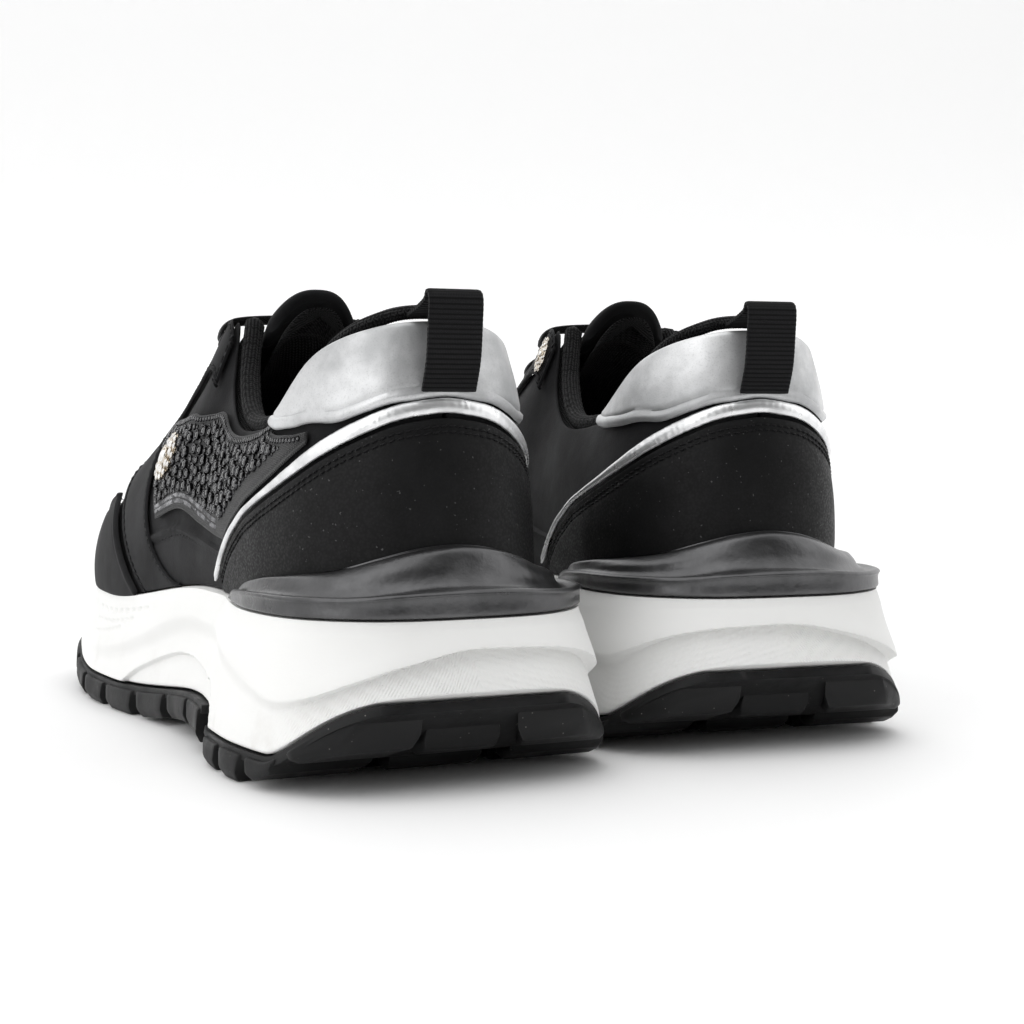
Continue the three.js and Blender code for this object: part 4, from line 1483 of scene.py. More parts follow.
RIM_EDGE = 0.985
THROAT_EDGE = 0.85
SEAM_SHARE = 1.6 / UPPER_HEIGHT
PIPING_RADIUS = 1.5
PIPING_CLEAR = (PIPING_RADIUS + 1.6) / UPPER_HEIGHT
PIPING_END = 5.2
TAB_END = 3.05
BASE = (0.6, 2.2)
TRIM = (2.8, 4.1)
TOE_TRIM = (3.1, 4.4)


def polyline(*points: tuple[float, float]) -> Curve:
    """A line of straight stretches through (place, value) points."""
    return lambda u: np.interp(u, [p[0] for p in points], [p[1] for p in points])


PIPING_CURVE = polyline(
    (0, 0.68), (0.75, 0.66), (1.3, 0.62), (2.2, 0.545), (3, 0.55), (3.65, 0.49), (4.3, 0.36), (4.8, 0.21),
    (5.3, 0.01),
)
TAB_CURVE = polyline((0, 0.71), (0.8, 0.705), (1.6, 0.665), (2.3, 0.735), (2.8, 0.855), (3.1, 0.945))


def softened(curve: Curve, reach: float = 0.28) -> Curve:
    """A line with its corners rounded, by averaging it over a short reach."""
    shares = np.linspace(-1, 1, 9)
    weights = 1 - shares**2
    return lambda u: sum(w * curve(np.abs(u + s * reach)) for s, w in zip(shares, weights)) / weights.sum()


PIPING_LINE = softened(PIPING_CURVE)
TAB_LINE = softened(TAB_CURVE, 0.2)


def level(value: float) -> Curve:
    """The same height at every station."""
    return lambda u: np.full(np.shape(u), value)


def from_heel(u: Values) -> Values:
    """Stations counted from the heel on either side."""
    return STATIONS - np.abs(STATIONS - np.abs(u))


def base_edge(u: Values) -> Values:
    """Upper edge of the base layer."""
    station = from_heel(u)
    return mix(RIM_EDGE, THROAT_EDGE, smooth(6.95, 7.35, station) * (1 - smooth(12, 13, station)))


def toe_guard_high(u: Values) -> Values:
    """Upper edge of the toe guard."""
    return mix(0.47, 0.34, smooth(11, 14, from_heel(u)))


def eyestay_low(u: Values) -> Values:
    """Lower edge of the eyestays."""
    return mix(0.78, 0.72, smooth(7, 11, np.abs(u)))


def counter_high(u: Values) -> Values:
    """Upper edge of the heel counter."""
    return PIPING_LINE(u) - PIPING_CLEAR


def tab_low(u: Values) -> Values:
    """Lower edge of the heel tab."""
    return np.maximum(TAB_LINE(u), PIPING_LINE(u) + PIPING_CLEAR)


def tab_high(u: Values) -> Values:
    """Upper edge of the heel tab."""
    return np.maximum(RIM_EDGE - 0.02, tab_low(u) + SEAM_SHARE)


def crystal_low(u: Values) -> Values:
    """Lower edge of the crystal panel."""
    return np.maximum(PIPING_LINE(u) + PIPING_CLEAR + SEAM_SHARE, mix(0.31, 0.27, smooth(4.6, 8.2, u)))


def crystal_high(u: Values) -> Values:
    """Upper edge of the crystal panel."""
    tab = np.where(u < TAB_END, TAB_LINE(u), RIM_EDGE)
    rest = mix(0.94, 0.62, smooth(5.4, 7.0, u)) + 0.07 * smooth(7.2, 8.8, u)
    return np.minimum(tab - 2 * SEAM_SHARE, rest)


@dataclass
class Upper:
    """All sewn panels of the upper, with their stitches."""

    threads: list[Values] = field(default_factory=list)

    def seam_edge(self, u: Values) -> Values:
        """The folded edge below the crystals, as heights at stations."""
        return mix(0.235, 0.215, smooth(5, 8, np.abs(u)))

    def lower_band(self, u: Values, t: Values) -> Values:
        """How far the panel below the crystals stands proud, highest at its folded edge."""
        away = (self.seam_edge(u) - t) * UPPER_HEIGHT
        step = smooth(-0.35, 0.35, away)
        fold = 0.45 * smooth(2.1, 1.5, away) - 0.3 * np.exp(-(((away - 2.6) / 0.5) ** 2))
        return step * (0.75 + fold) * smooth(4.2, 4.5, np.abs(u))

    def lower_stitches(self) -> Values:
        """Stitches below that folded edge, on the outer side and the inner one."""
        rows = []
        for side in (1, -1):
            u = side * np.linspace(4.75, 7.6, 160)
            t = self.seam_edge(u) - 2.6 / UPPER_HEIGHT
            rows.append(stitches(LAST.over(u, t, BASE[1] + 0.5), LAST.normal(u, t), 2.4, 1.9))
        return np.concatenate(rows)

    def panels(self) -> dict[str, Panel]:
        """The panels of nubuck, by their CAD node."""
        made = {
            "vamp": Panel((8.98, 8.98), (19.02, 19.02), level(0.0), base_edge, *BASE, swell=0.2, cell=1.4)
        }
        made["toe_guard"] = Panel(
            (8.5, 10.65), (19.5, 17.35), level(0.0), toe_guard_high, *TOE_TRIM, cell=1.2,
            seams=(Seam(Edge.START, (1.8,)), Seam(Edge.END, (1.8,)), Seam(Edge.HIGH, (1.8, 4.0))),
            fold=(Edge.HIGH, Edge.START, Edge.END),
        )
        for word, s in (("outer", 1), ("inner", -1)):
            made[f"quarter_{word}"] = Panel(
                (s * 0.03, s * 0.03), (s * 8.9, s * 8.9), level(0.0), base_edge, *BASE, swell=0.25,
                raised=self.lower_band,
            )
            made[f"side_guard_{word}"] = Panel(
                (s * 6.8, s * 9.3), (s * 8.25, s * 11.2), level(0.0), level(0.68), *TRIM, cell=0.9, bow=0.6,
                seams=(Seam(Edge.START, (1.7,)), Seam(Edge.END, (1.7,))), fold=(Edge.START, Edge.END),
            )
            made[f"eyestay_{word}"] = Panel(
                (s * 6.6, s * 6.6), (s * 12.9, s * 12.9), eyestay_low, level(RIM_EDGE - 0.01), *TRIM,
                cell=0.9,
                seams=(
                    Seam(Edge.LOW, (1.6,)), Seam(Edge.START, (1.8,)), Seam(Edge.HIGH, (1.4,), 1.8, 2.4, 0.2),
                ),
                fold=(Edge.START, Edge.LOW),
            )
        return made

    def counter(self) -> Panel:
        """The pebbled leather over the heel, with two rows of stitches inside the piping."""
        end = PIPING_END - 0.3
        return Panel(
            (-end, -end), (end, end), level(0.0), counter_high, *TRIM, cell=1.0,
            seams=(Seam(Edge.HIGH, (2.2, 3.7), 1.7, 2.3, 0.3),), swell=0.35,
        )

    def tab(self) -> Panel:
        """The silver heel tab, with a folded lower edge and its row of stitches."""
        return Panel(
            (-TAB_END, -TAB_END), (TAB_END, TAB_END), tab_low, tab_high, *TRIM, cell=0.8, swell=0.25,
            seams=(Seam(Edge.LOW, (2.3,), 1.1, 2.1, 0.5),), fold=(Edge.LOW,),
        )

    def build(self, looks: "Looks") -> None:
        """Shape, sew and place all the panels."""
        for node, panel in self.panels().items():
            obj = panel.build(node)
            self.threads += panel.sewn()
            pair_up(obj, f"{node}_cut", looks.nubuck, (node,))
        self.threads.append(self.lower_stitches())
        counter = self.counter()
        obj = counter.build("counter")
        self.threads += counter.sewn()
        pair_up(obj, "heel_counter_cut", looks.leather, ("heel_counter",))
        tab = self.tab()
        obj = tab.build("tab")
        pair_up(obj, "heel_tab_cut", looks.silver, ("heel_tab",))
        pair_up(
            finished(stamp("tab_stitches", stitch_model(0.24), np.concatenate(tab.sewn(0.14))), 60),
            "heel_tab_stitches", looks.grey_thread,
        )
        pair_up(
            finished(stamp("stitches", stitch_model(0.34), np.concatenate(self.threads)), 60),
            "upper_stitches", looks.thread,
        )


@dataclass
class Piping:
    """The silver piping over the heel, between the counter and the panels above it."""

    radius: float = PIPING_RADIUS

    def build(self) -> Object:
        """Shape the piping."""
        u = np.linspace(-PIPING_END, PIPING_END, 420)
        t = PIPING_LINE(u)
        line = LAST.over(u, t, TRIM[0] + self.radius * 0.85)
        lean = LAST.normal(u, t)
        wide = mix(2.0, 0.92, smooth(1.4, 3.4, np.abs(u))) * (1.0 + 0.02 * np.sin(u * 31) * np.sin(u * 13))
        taper = smooth(0, 0.12, PIPING_END - np.abs(u)) * 0.6 + 0.4
        high = mix(1.0, 0.95, smooth(1.4, 3.4, np.abs(u)))
        across = np.cross(tangents(line), lean)
        return finished(tube("piping", line, across, wide * taper, high * taper, 20), 60)


# ---- Crystals ------------------------------------------------------------------------------------
@dataclass
class CrystalPanel:
    """The black panel on the outer side, set with domed rings of many sizes."""

    seed: int = 7
    sizes: tuple[float, ...] = (1.75, 1.5, 1.25, 1.0, 0.8, 0.62)
    tries: tuple[int, ...] = (420, 900, 1800, 3200, 6000, 9000)
    length: float = 92
    apart: float = 0.22
    edge_pitch: float = 1.75
    edge_stone: float = 0.78
    bead_rows: tuple[float, ...] = (2.6, 4.4)
    bead_pitch: float = 1.15

    def panel(self) -> Panel:
        """The ground of the crystals."""
        return Panel(
            (2.05, 2.05), (7.9, 9.1), crystal_low, crystal_high, *TRIM, cell=0.9,
            seams=(Seam(Edge.LOW, (1.2,), 1.6, 2.2, 0.2),),
        )

    def height(self, panel: Panel, u: Values) -> Values:
        """How high the panel is at stations, in millimetres."""
        rise = LAST.surface(u, panel.high(u)) - LAST.surface(u, panel.low(u))
        return np.linalg.norm(rise, axis=-1)

    def frames(self, panel: Panel, a: Values, b: Values, turn: Values) -> Values:
        """Places square to the panel.

        Args:
            panel: The panel.
            a: Shares along it.
            b: Shares up it.
            turn: How far each is turned about its own axis.

        Returns:
            Transforms as (count, 3, 4).
        """
        u, t = panel.stations(a, b)
        place = LAST.over(u, t, TRIM[1] - 0.12)
        lean = LAST.normal(u, t)
        around = LAST.around(u, t)
        other = np.cross(lean, around)
        c, s = np.cos(turn)[:, None], np.sin(turn)[:, None]
        return np.stack([around * c + other * s, other * c - around * s, lean, place], -1)

    def scatter(self, panel: Panel) -> tuple[Values, Values]:
        """Spread the stones, large ones first, none over another.

        Returns:
            Their transforms and radii.
        """
        draw = np.random.default_rng(self.seed)
        spots = np.zeros((0, 3))
        radii = np.zeros(0)
        kept = []
        for size, tries in zip(self.sizes, self.tries):
            a, b = draw.random(tries), draw.random(tries)
            turn = draw.random(tries) * 2 * math.pi
            frames = self.frames(panel, a, b, turn)
            u, _ = panel.stations(a, b)
            wide = self.height(panel, u)
            reach = size * draw.uniform(0.9, 1.08, tries)
            clear = np.minimum(b * wide - 4.9, (1 - b) * wide - 2.6) - reach
            side = np.minimum(a, 1 - a) * self.length - reach - 0.8
            for k in np.nonzero((clear > 0) & (side > 0))[0]:
                spot = frames[k, :, 3]
                gaps = np.linalg.norm(spots - spot, axis=1) - radii
                if len(spots) == 0 or gaps.min() > reach[k] + self.apart:
                    spots = np.vstack([spots, spot])
                    radii = np.append(radii, reach[k])
                    kept.append(frames[k])
        return np.array(kept), radii

    def row(self, panel: Panel, share: Curve, pitch: float, ends: tuple[float, float]) -> Values:
        """Places in a neat row along the panel.

        Args:
            panel: The panel.
            share: Height of the row at shares along the panel.
            pitch: From place to place.
            ends: Shares along the panel where it starts and ends.

        Returns:
            Transforms.
        """
        a = np.linspace(*ends, 300)
        u, t = panel.stations(a, share(a))
        rows, _ = even(LAST.surface(u, t), pitch)
        a = np.interp(rows, np.arange(300), a)
        return self.frames(panel, a, share(a), np.zeros(len(a)))

    def inset(self, panel: Panel, away: float, top: bool) -> Curve:
        """Heights at a fixed distance inside the lower or upper edge."""

        def share(a: Values) -> Values:
            """Height at shares along the panel."""
            b = np.full(np.shape(a), 0.5)
            u, _ = panel.stations(a, b)
            wide = self.height(panel, u)
            part = np.clip(away / np.maximum(wide, 2 * away), 0, 0.5)
            return 1 - part if top else part

        return share

    def build(self, looks: "Looks") -> None:
        """Shape and place the panel, its stones and its beads."""
        panel = self.panel()
        ground = panel.build("crystal")
        pair_up(ground, "crystal_panel_cut", looks.stone_ground, ("crystal_panel",))
        frames, radii = self.scatter(panel)
        frames[:, :, :3] *= radii[:, None, None]
        edge = self.row(panel, self.inset(panel, 1.5, True), self.edge_pitch, (0.02, 0.985))
        edge[:, :, :3] *= self.edge_stone
        places = np.concatenate([frames, edge])
        ring = turned("ring", ((1.0, -0.1), (1.03, 0.34), (0.93, 0.66), (0.78, 0.64), (0.66, 0.3)), 12)
        dome = turned("dome", ((0.7, 0.1), (0.62, 0.46), (0.38, 0.66), (0.0, 0.72)), 10)
        pair_up(finished(stamp("rings", ring, places), 60), "crystal_rings", looks.ring)
        pair_up(finished(stamp("domes", dome, places), 60), "crystal_domes", looks.stone)
        outline = ((0.0, -0.55), (0.3, -0.5), (0.42, -0.2), (0.42, 0.2), (0.3, 0.5), (0.0, 0.55))
        bead = turned("bead", outline, 7)
        rows = []
        for away in self.bead_rows:
            row = self.row(panel, self.inset(panel, away, False), self.bead_pitch, (0.5, 0.985))
            upright = row.copy()
            upright[:, :, 1], upright[:, :, 2] = row[:, :, 2], row[:, :, 1] * 1.35
            rows.append(upright)
        beads = finished(stamp("beads", bead, np.concatenate(rows)), 60)
        pair_up(beads, "crystal_beads", looks.bead)


@dataclass
class Ornament:
    """A brooch of set stones: rings of claws and stones round a larger one, on a metal plate."""

    start: float
    end: float
    low: float
    high: float
    word: str

    def build(self, looks: "Looks") -> None:
        """Shape and place the brooch."""
        mid_u, mid_t = (self.start + self.end) / 2, (self.low + self.high) / 2
        half_u, half_t = (self.end - self.start) / 2, (self.high - self.low) / 2
        across = np.linalg.norm(LAST.surface(mid_u + half_u, mid_t) - LAST.surface(mid_u - half_u, mid_t)) / 2
        tall = np.linalg.norm(LAST.surface(mid_u, mid_t + half_t) - LAST.surface(mid_u, mid_t - half_t)) / 2

        def spot(x: Values, y: Values, off: float) -> Values:
            """Frames at places given in millimetres from the brooch's middle."""
            u, t = mid_u + half_u * np.asarray(x) / across, mid_t + half_t * np.asarray(y) / tall
            place = LAST.over(u, t, TRIM[1] + off)
            lean = LAST.normal(u, t)
            side = LAST.around(u, t)
            return np.stack([side, np.cross(lean, side), lean, place], -1)

        angle = np.linspace(0, 2 * math.pi, 73)[:, None]
        reach = np.array([0.0, 0.35, 0.7, 0.96, 1.0])[None]
        petals = 1 + 0.07 * np.cos(8 * angle)
        frames = spot(across * reach * petals * np.cos(angle), tall * reach * petals * np.sin(angle), 0.55)
        plate = grid("plate", frames[..., 3])
        face_along(plate, frames[..., 2])
        plate = close(apply(close(plate, fill=False), "SOLIDIFY", thickness=0.9, offset=0), fill=False)
        places, sizes = [spot(0.0, 0.0, 1.0)[None]], [min(across, tall) * 0.34]
        for ring, count, size in ((0.58, 8, 0.2), (0.9, 14, 0.145)):
            for k in range(count):
                turn = 2 * math.pi * (k + 0.5 * (ring > 0.7)) / count
                places.append(spot(across * ring * math.cos(turn), tall * ring * math.sin(turn), 0.9)[None])
                sizes.append(min(across, tall) * size)
        frames = np.concatenate(places)
        scale = np.array(sizes)[:, None, None]
        cups = frames.copy()
        cups[:, :, :3] *= scale * 1.14
        stones = frames.copy()
        stones[:, :, :3] *= scale
        cup = turned("cup", ((0.7, -0.4), (0.95, 0.0), (1.1, 0.4), (1.06, 0.55), (0.9, 0.5), (0.8, 0.2)), 12)
        stone = turned("stone", ((0.8, 0.1), (1.0, 0.35), (0.86, 0.62), (0.5, 0.86), (0.0, 0.9)), 8)
        metal = join("brooch", [plate, stamp("cups", cup, cups)])
        pair_up(finished(metal, 35), f"{self.word}_setting", looks.setting, (self.word,))
        pair_up(stamp("gems", stone, stones), f"{self.word}_stones", looks.gem)


# ---- Collar, tongue, lace and loop ---------------------------------------------------------------
COLLAR_END = 6.9
SOFT_MERGE = 0.02
LAST_FRAME = 20


def puff(obj: Object, held: Values, pressure: float, cap: float) -> Object:
    """Blow up a padded piece with a cloth simulation, and keep how it ends.

    Args:
        obj: A closed mesh.
        held: For each corner, how firmly it is held, from 0 to 1.
        pressure: The air pressure inside.
        cap: The furthest that a corner may move, in millimetres.

    Returns:
        The same object.
    """
    before = coordinates(obj)
    reshape(obj, before * MM)
    group = obj.vertex_groups.new(name="held")
    for index, weight in enumerate(held):
        if weight > 0:
            group.add([index], float(weight), "REPLACE")
    alone(obj)
    modifier = obj.modifiers.new("cloth", "CLOTH")
    cloth = modifier.settings
    cloth.quality = 5
    cloth.mass = 0.15
    cloth.use_pressure = True
    cloth.uniform_pressure_force = pressure
    cloth.tension_stiffness = cloth.compression_stiffness = 12
    cloth.bending_stiffness = 0.4
    cloth.vertex_group_mass = "held"
    cloth.effector_weights.gravity = 0
    modifier.collision_settings.use_collision = False
    modifier.point_cache.frame_start, modifier.point_cache.frame_end = 1, LAST_FRAME
    scene = bpy.context.scene
    for frame_number in range(1, LAST_FRAME + 1):
        scene.frame_set(frame_number)
    bpy.ops.object.modifier_apply(modifier=modifier.name)
    scene.frame_set(1)
    moved = coordinates(obj) / MM - before
    far = np.linalg.norm(moved, axis=1, keepdims=True)
    LOG.info("%s puffed by %.2f mm at most", obj.name, float(far.max()))
    reshape(obj, before + moved * np.minimum(1, cap / np.maximum(far, 1e-9)))
    obj.vertex_groups.clear()
    return obj


@dataclass
class Collar:
    """The padded collar: foam in rib knit inside the rim, with a knit roll along its edge."""

    padding: float = 6.0
    binding: float = 1.6
    lining: float = 1.7
    pressure: float = 4.0
    swell: float = 1.1
    low: float = 0.54
    roll_thick: float = 2.15

    def depth(self, u: Values) -> Values:
        """How thick the padding is at a station."""
        return mix(self.padding, 1.05 * self.padding, smooth(4.2, COLLAR_END, np.abs(u)))

    def pad(self) -> Object:
        """The padding, blown up, with the ribs of its knit."""
        u = np.linspace(-COLLAR_END, COLLAR_END, 220)
        low, high = self.low, RIM_EDGE
        outer_t = np.linspace(low, high, 6)
        inner_t = high - (high - low) * np.linspace(0, 1, 34) ** 1.15
        rows, hold = [], []
        for t in outer_t:
            rows.append(LAST.surface(u, t))
            hold.append(1.0)
        for t in inner_t:
            share = (t - low) / (high - low)
            fat = 0.6 + (self.depth(u) + 1.2) * smooth(-0.2, 0.5, share)
            fat = fat * np.sqrt(1 - 0.72 * np.clip((share - 0.62) / 0.38, 0, 1) ** 2.4)
            rows.append(LAST.over(u, t, -self.lining - fat + 1.0))
            hold.append(0.0 if 0.06 < share < 0.97 else 0.7)
        points = np.stack(rows + rows[:1], 1)
        obj = close(grid("pad", points), SOFT_MERGE)
        corners = coordinates(obj)
        flat = points[:, :-1].reshape(-1, 3)
        firm = np.tile(hold, len(u))
        held = np.array([firm[np.argmin(((flat - c) ** 2).sum(1))] for c in corners])
        end = np.minimum(
            np.linalg.norm(corners[:, None] - points[0][None], axis=-1).min(1),
            np.linalg.norm(corners[:, None] - points[-1][None], axis=-1).min(1),
        )
        held = np.maximum(held, 1.0 - smooth(0.5, 6.0, end))
        puff(obj, held, self.pressure, self.swell)
        apply(obj, "SUBSURF", levels=1, render_levels=1)
        return self.ribbed(obj, 0.08, 1.25)

    def ribbed(self, obj: Object, height: float, pitch: float) -> Object:
        """Raise ribs that follow the collar's edge."""
        uv = np.empty(len(obj.data.loops) * 2, np.float32)
        obj.data.uv_layers.active.data.foreach_get("uv", uv)
        corner = np.empty(len(obj.data.loops), np.int32)
        obj.data.loops.foreach_get("vertex_index", corner)
        rise = np.zeros(len(obj.data.vertices))
        rise[corner] = uv.reshape(-1, 2)[:, 1] / MM
        normal = np.empty(len(obj.data.vertices) * 3, np.float32)
        obj.data.vertices.foreach_get("normal", normal)
        wave = height * (np.abs(np.sin(math.pi * rise / pitch)) ** 0.7 - 0.6)
        reshape(obj, coordinates(obj) + normal.reshape(-1, 3) * wave[:, None])
        return obj

    def roll(self) -> Object:
        """The knit roll along the collar's edge."""
        u = np.linspace(-COLLAR_END, COLLAR_END, 520)
        up = unit(LAST.surface(u, 1.0) - LAST.surface(u, 0.9))
        line = LAST.over(u, 1.0, -1.35) + up * (self.binding + 1.0)
        lean = LAST.normal(u, 0.98)
        end = 0.35 + 0.65 * smooth(0, 0.12, COLLAR_END - np.abs(u))
        bumps = (1 + 0.03 * np.sin(u * 97)) * mix(1.0, 1.45, smooth(2.9, 4.2, np.abs(u)))
        line = line - lean * (self.roll_thick * (bumps - 1))[:, None]
        obj = tube("roll", line, lean, self.roll_thick * end * bumps, self.binding * 1.12 * end * bumps, 28)
        return finished(self.ribbed(obj, 0.09, 1.35), 60)

    def build(self, looks: "Looks") -> None:
        """Shape and place the collar."""
        pad = self.pad()
        pair_up(finished(pad, 60), "collar_pad", looks.knit, ("collar_padding",))
        pair_up(self.roll(), "collar_roll", looks.knit, ("collar_binding",))


@dataclass
class Tongue:
    """The padded tongue: nubuck outside with a rolled hood at its tip, and knit inside."""

    base: float = 12.4
    top: float = 7.0
    free: float = 0.86
    reach: float = 13.0
    rise: float = 6.0
    under: float = 2.2
    thick: float = 5.0
    lining_thick: float = 1.2
    side_t: float = 0.95
    pressure: float = 3.0

    def rows(self, share: Values, x: Values, depth: float) -> Values:
        """Points of the tongue.

        Args:
            share: Along it, 0 at the sewn end and 1 at the tip.
            x: Across it, -1 to 1.
            depth: Under its outer face.

        Returns:
            The points.
        """
        u = mix(self.base, self.top, np.minimum(share / self.free, 1))
        past = np.maximum(share - self.free, 0) / (1 - self.free)
        along = LAST.rim(self.top) - LAST.rim(self.top + 1)
        along[0] = 0
        along /= np.linalg.norm(along)
        under = self.under + depth
        crown = (LAST.rim(u) + LAST.rim(-u)) / 2
        crown = crown + np.array([0, -0.3 * depth, 1 - under])
        narrow = mix(1, 0.84, smooth(0.5, self.free, share))[..., None]
        outer, inner = LAST.over(u, self.side_t, -under), LAST.over(-u, self.side_t, -under)
        side = np.where((x > 0)[..., None], outer, inner)
        reach = (side - crown) * narrow
        far = np.abs(x)[..., None]
        shares = np.concatenate([far, far**2, far**2.2], -1)
        point = crown + reach * shares
        lift = np.zeros_like(point)
        lift[..., 1] = -0.4 * depth * past
        bend = smooth(0.5, 0.95, share)
        lift[..., 2] = self.rise * smooth(0.72, 1, share) + bend * (1.5 - 8 * np.abs(x) ** 2.7)
        return point + lift + along * (self.reach * past * (1 - 0.55 * np.abs(x) ** 3))[..., None]

    def shell(self, name: str, top: float, bottom: float, tip: float, puffed: float) -> Object:
        """A padded strip between two depths.

        Args:
            name: Its name.
            top: Depth of its outer face.
            bottom: Depth of its inner face.
            tip: Share of the length where it ends.
            puffed: How far the padding may swell.

        Returns:
            The strip.
        """
        share = np.linspace(0, tip, 90)
        x = np.linspace(-1, 1, 31)
        s, x = np.meshgrid(share, x, indexing="ij")
        middle, half = (top + bottom) / 2, (bottom - top) / 2
        edge = np.minimum(1 - np.abs(x), 9 * (tip - s) / 3)
        fat = half * np.sqrt(np.clip(1 - (1 - np.clip(edge / 0.22, 0, 1)) ** 2, 0.02, 1))
        upper = np.stack([self.rows(s[:, k], x[:, k], 0.0) for k in range(x.shape[1])], 1)
        lower = np.stack([self.rows(s[:, k], x[:, k], 1.0) for k in range(x.shape[1])], 1)
        down = lower - upper
        outer = upper + down * (middle - fat)[..., None]
        inner = upper + down * (middle + fat)[..., None]
        ring = np.concatenate([outer, inner[:, ::-1], outer[:, :1]], 1)
        obj = close(grid(name, ring), SOFT_MERGE)
        corners = coordinates(obj)
        foot = ring[0]
        near = np.linalg.norm(corners[:, None] - foot[None], axis=-1).min(1)
        held = 1 - smooth(1.0, 10.0, near)
        seam = np.linalg.norm(corners[:, None] - ring[::2, 0][None], axis=-1).min(1)
        far_seam = ring[::2, x.shape[1]]
        other = np.linalg.norm(corners[:, None] - far_seam[None], axis=-1).min(1)
        held = np.maximum(held, 0.9 * (1 - smooth(0.5, 2.0, np.minimum(seam, other))))
        puff(obj, held, self.pressure, puffed)
        apply(obj, "SUBSURF", levels=1, render_levels=1)
        return obj

    def build(self, looks: "Looks") -> None:
        """Shape and place the tongue and its lining."""
        outer = self.shell("tongue", 0.0, self.thick, 1.0, 0.7)
        finished(outer, 60)
        pair_up(outer, "tongue_pad", looks.nubuck, ("tongue",), flap=True)
        depth = self.thick + 0.9
        inner = self.shell("tongue_lining", depth, depth + self.lining_thick, 0.985, 0.25)
        finished(inner, 60)
        pair_up(inner, "tongue_knit", looks.knit, ("tongue_lining",), flap=True)


@dataclass
class Lace:
    """One flat lace, straight across the throat in every row, and the eyelets that it runs through."""

    rows: int = 5
    wide: float = 2.6
    thick: float = 0.75
    line_t: float = 0.92
    first: float = 7.5
    step: float = 1.05
    hole: float = 1.9

    def station(self, row: float) -> float:
        """Station of a row, from the top of the throat down."""
        return self.first + row * self.step

    def lace(self) -> Object:
        """The lace."""
        over, under, edge = TRIM[1] + 0.7, TRIM[0] - 1.7, RIM_EDGE + 0.008
        points, bars = [], []
        for row in range(self.rows):
            u, side = self.station(row), 1 if row % 2 == 0 else -1
            crown = (LAST.rim(u) + LAST.rim(-u)) / 2 + [0, 0, 1.9]
            for s, t, off, flat in (
                (side, self.line_t, under, 0.0), (side, self.line_t, over, 0.25),
                (side, edge, over - 1.8, 1.0), (0, 0, 0, 1.0), (-side, edge, over - 1.8, 1.0),
                (-side, self.line_t, over, 0.25), (-side, self.line_t, under, 0.0),
            ):
                points.append(crown if s == 0 else LAST.over(s * u, t, off))
                bars.append(flat)
        count = 700
        line = through(points, count)
        knots = np.array(points)
        nearest = np.array([np.argmin(np.linalg.norm(line - k, axis=1)) for k in knots])
        flat = np.interp(np.arange(count), nearest, bars)
        side = np.tile([0, 1.0, -0.55], (count, 1))
        obj = tube("lace", line, side, mix(1.0, self.wide, flat), self.thick, 16)
        return finished(obj, 60)

    def eyelets(self) -> Object:
        """The eyelets' rolled rims."""
        ring = turned(
            "eyelet",
            ((0.62, -0.3), (0.62, 0.25), (0.78, 0.5), (1.05, 0.52), (1.3, 0.3), (1.42, 0.0), (1.42, -0.2)),
            20,
        )
        frames = []
        for row in range(self.rows):
            for side in (1, -1):
                u = side * self.station(row)
                lean = LAST.normal(u, self.line_t)
                around = LAST.around(u, self.line_t)
                place = LAST.over(u, self.line_t, TRIM[1] - 0.1)
                other = np.cross(lean, around)
                frames.append(np.stack([around * self.hole, other * self.hole, lean, place], -1))
        return finished(stamp("eyelets", ring, np.array(frames)), 40)

    def build(self, looks: "Looks") -> None:
        """Shape and place the lace and the eyelets."""
        pair_up(self.lace(), "lace_woven", looks.lace, ("lace",))
        pair_up(self.eyelets(), "eyelet_rims", looks.eyelet)


@dataclass
class PullLoop:
    """The grosgrain loop from the collar's edge over to the piping."""

    width: float = 15.0
    thick: float = 1.5
    reach: float = 7.5
    rib: float = 1.3
    root_t: float = 0.72

    def build(self, looks: "Looks") -> None:
        """Shape and place the loop."""
        root = LAST.over(0.0, self.root_t, TRIM[1] + GAP + self.thick)
        crown = LAST.rim(0.0) + [0, -1, 3.2 + 4 * GAP + self.thick / 2]
        x, reach = root[0], root[1] - self.reach + 2
        path = through(
            [
                root, (x, reach + 2.4, root[2] + 8), (x, reach + 1.2, crown[2] - 8),
                (x, reach + 0.8, crown[2] - 1.6), (x, reach + 2.6, crown[2] + 0.3),
                (x, reach + 4.4, crown[2] - 1.8), (x, crown[1] - 3.6, crown[2] - 4.2),
                (x, crown[1] + 0.5, crown[2] - 5.2),
            ],
            460,
        )
        run = lengths(path, 0)
        along = tangents(path)
        lean = np.stack([np.zeros(len(path)), -along[:, 2], along[:, 1]], -1)
        across = np.linspace(-1, 1, 33)
        ribs = 0.17 * (np.abs(np.sin(math.pi * run / self.rib)) ** 0.8 - 0.5)[:, None]
        selvedge = 0.25 * smooth(0.9, 1.0, np.abs(across))[None]
        half = self.thick / 2 * 0.86 + ribs - selvedge
        wide = across * self.width / 2
        middle = path[:, None] + np.array([1.0, 0, 0]) * wide[None, :, None]
        front = middle + lean[:, None] * half[..., None]
        back = middle - lean[:, None] * half[..., None]
        obj = close(grid("loop", np.concatenate([front, back[:, ::-1], front[:, :1]], 1)))
        pair_up(finished(obj, 60), "pull_loop_ribbed", looks.webbing, ("pull_loop",))


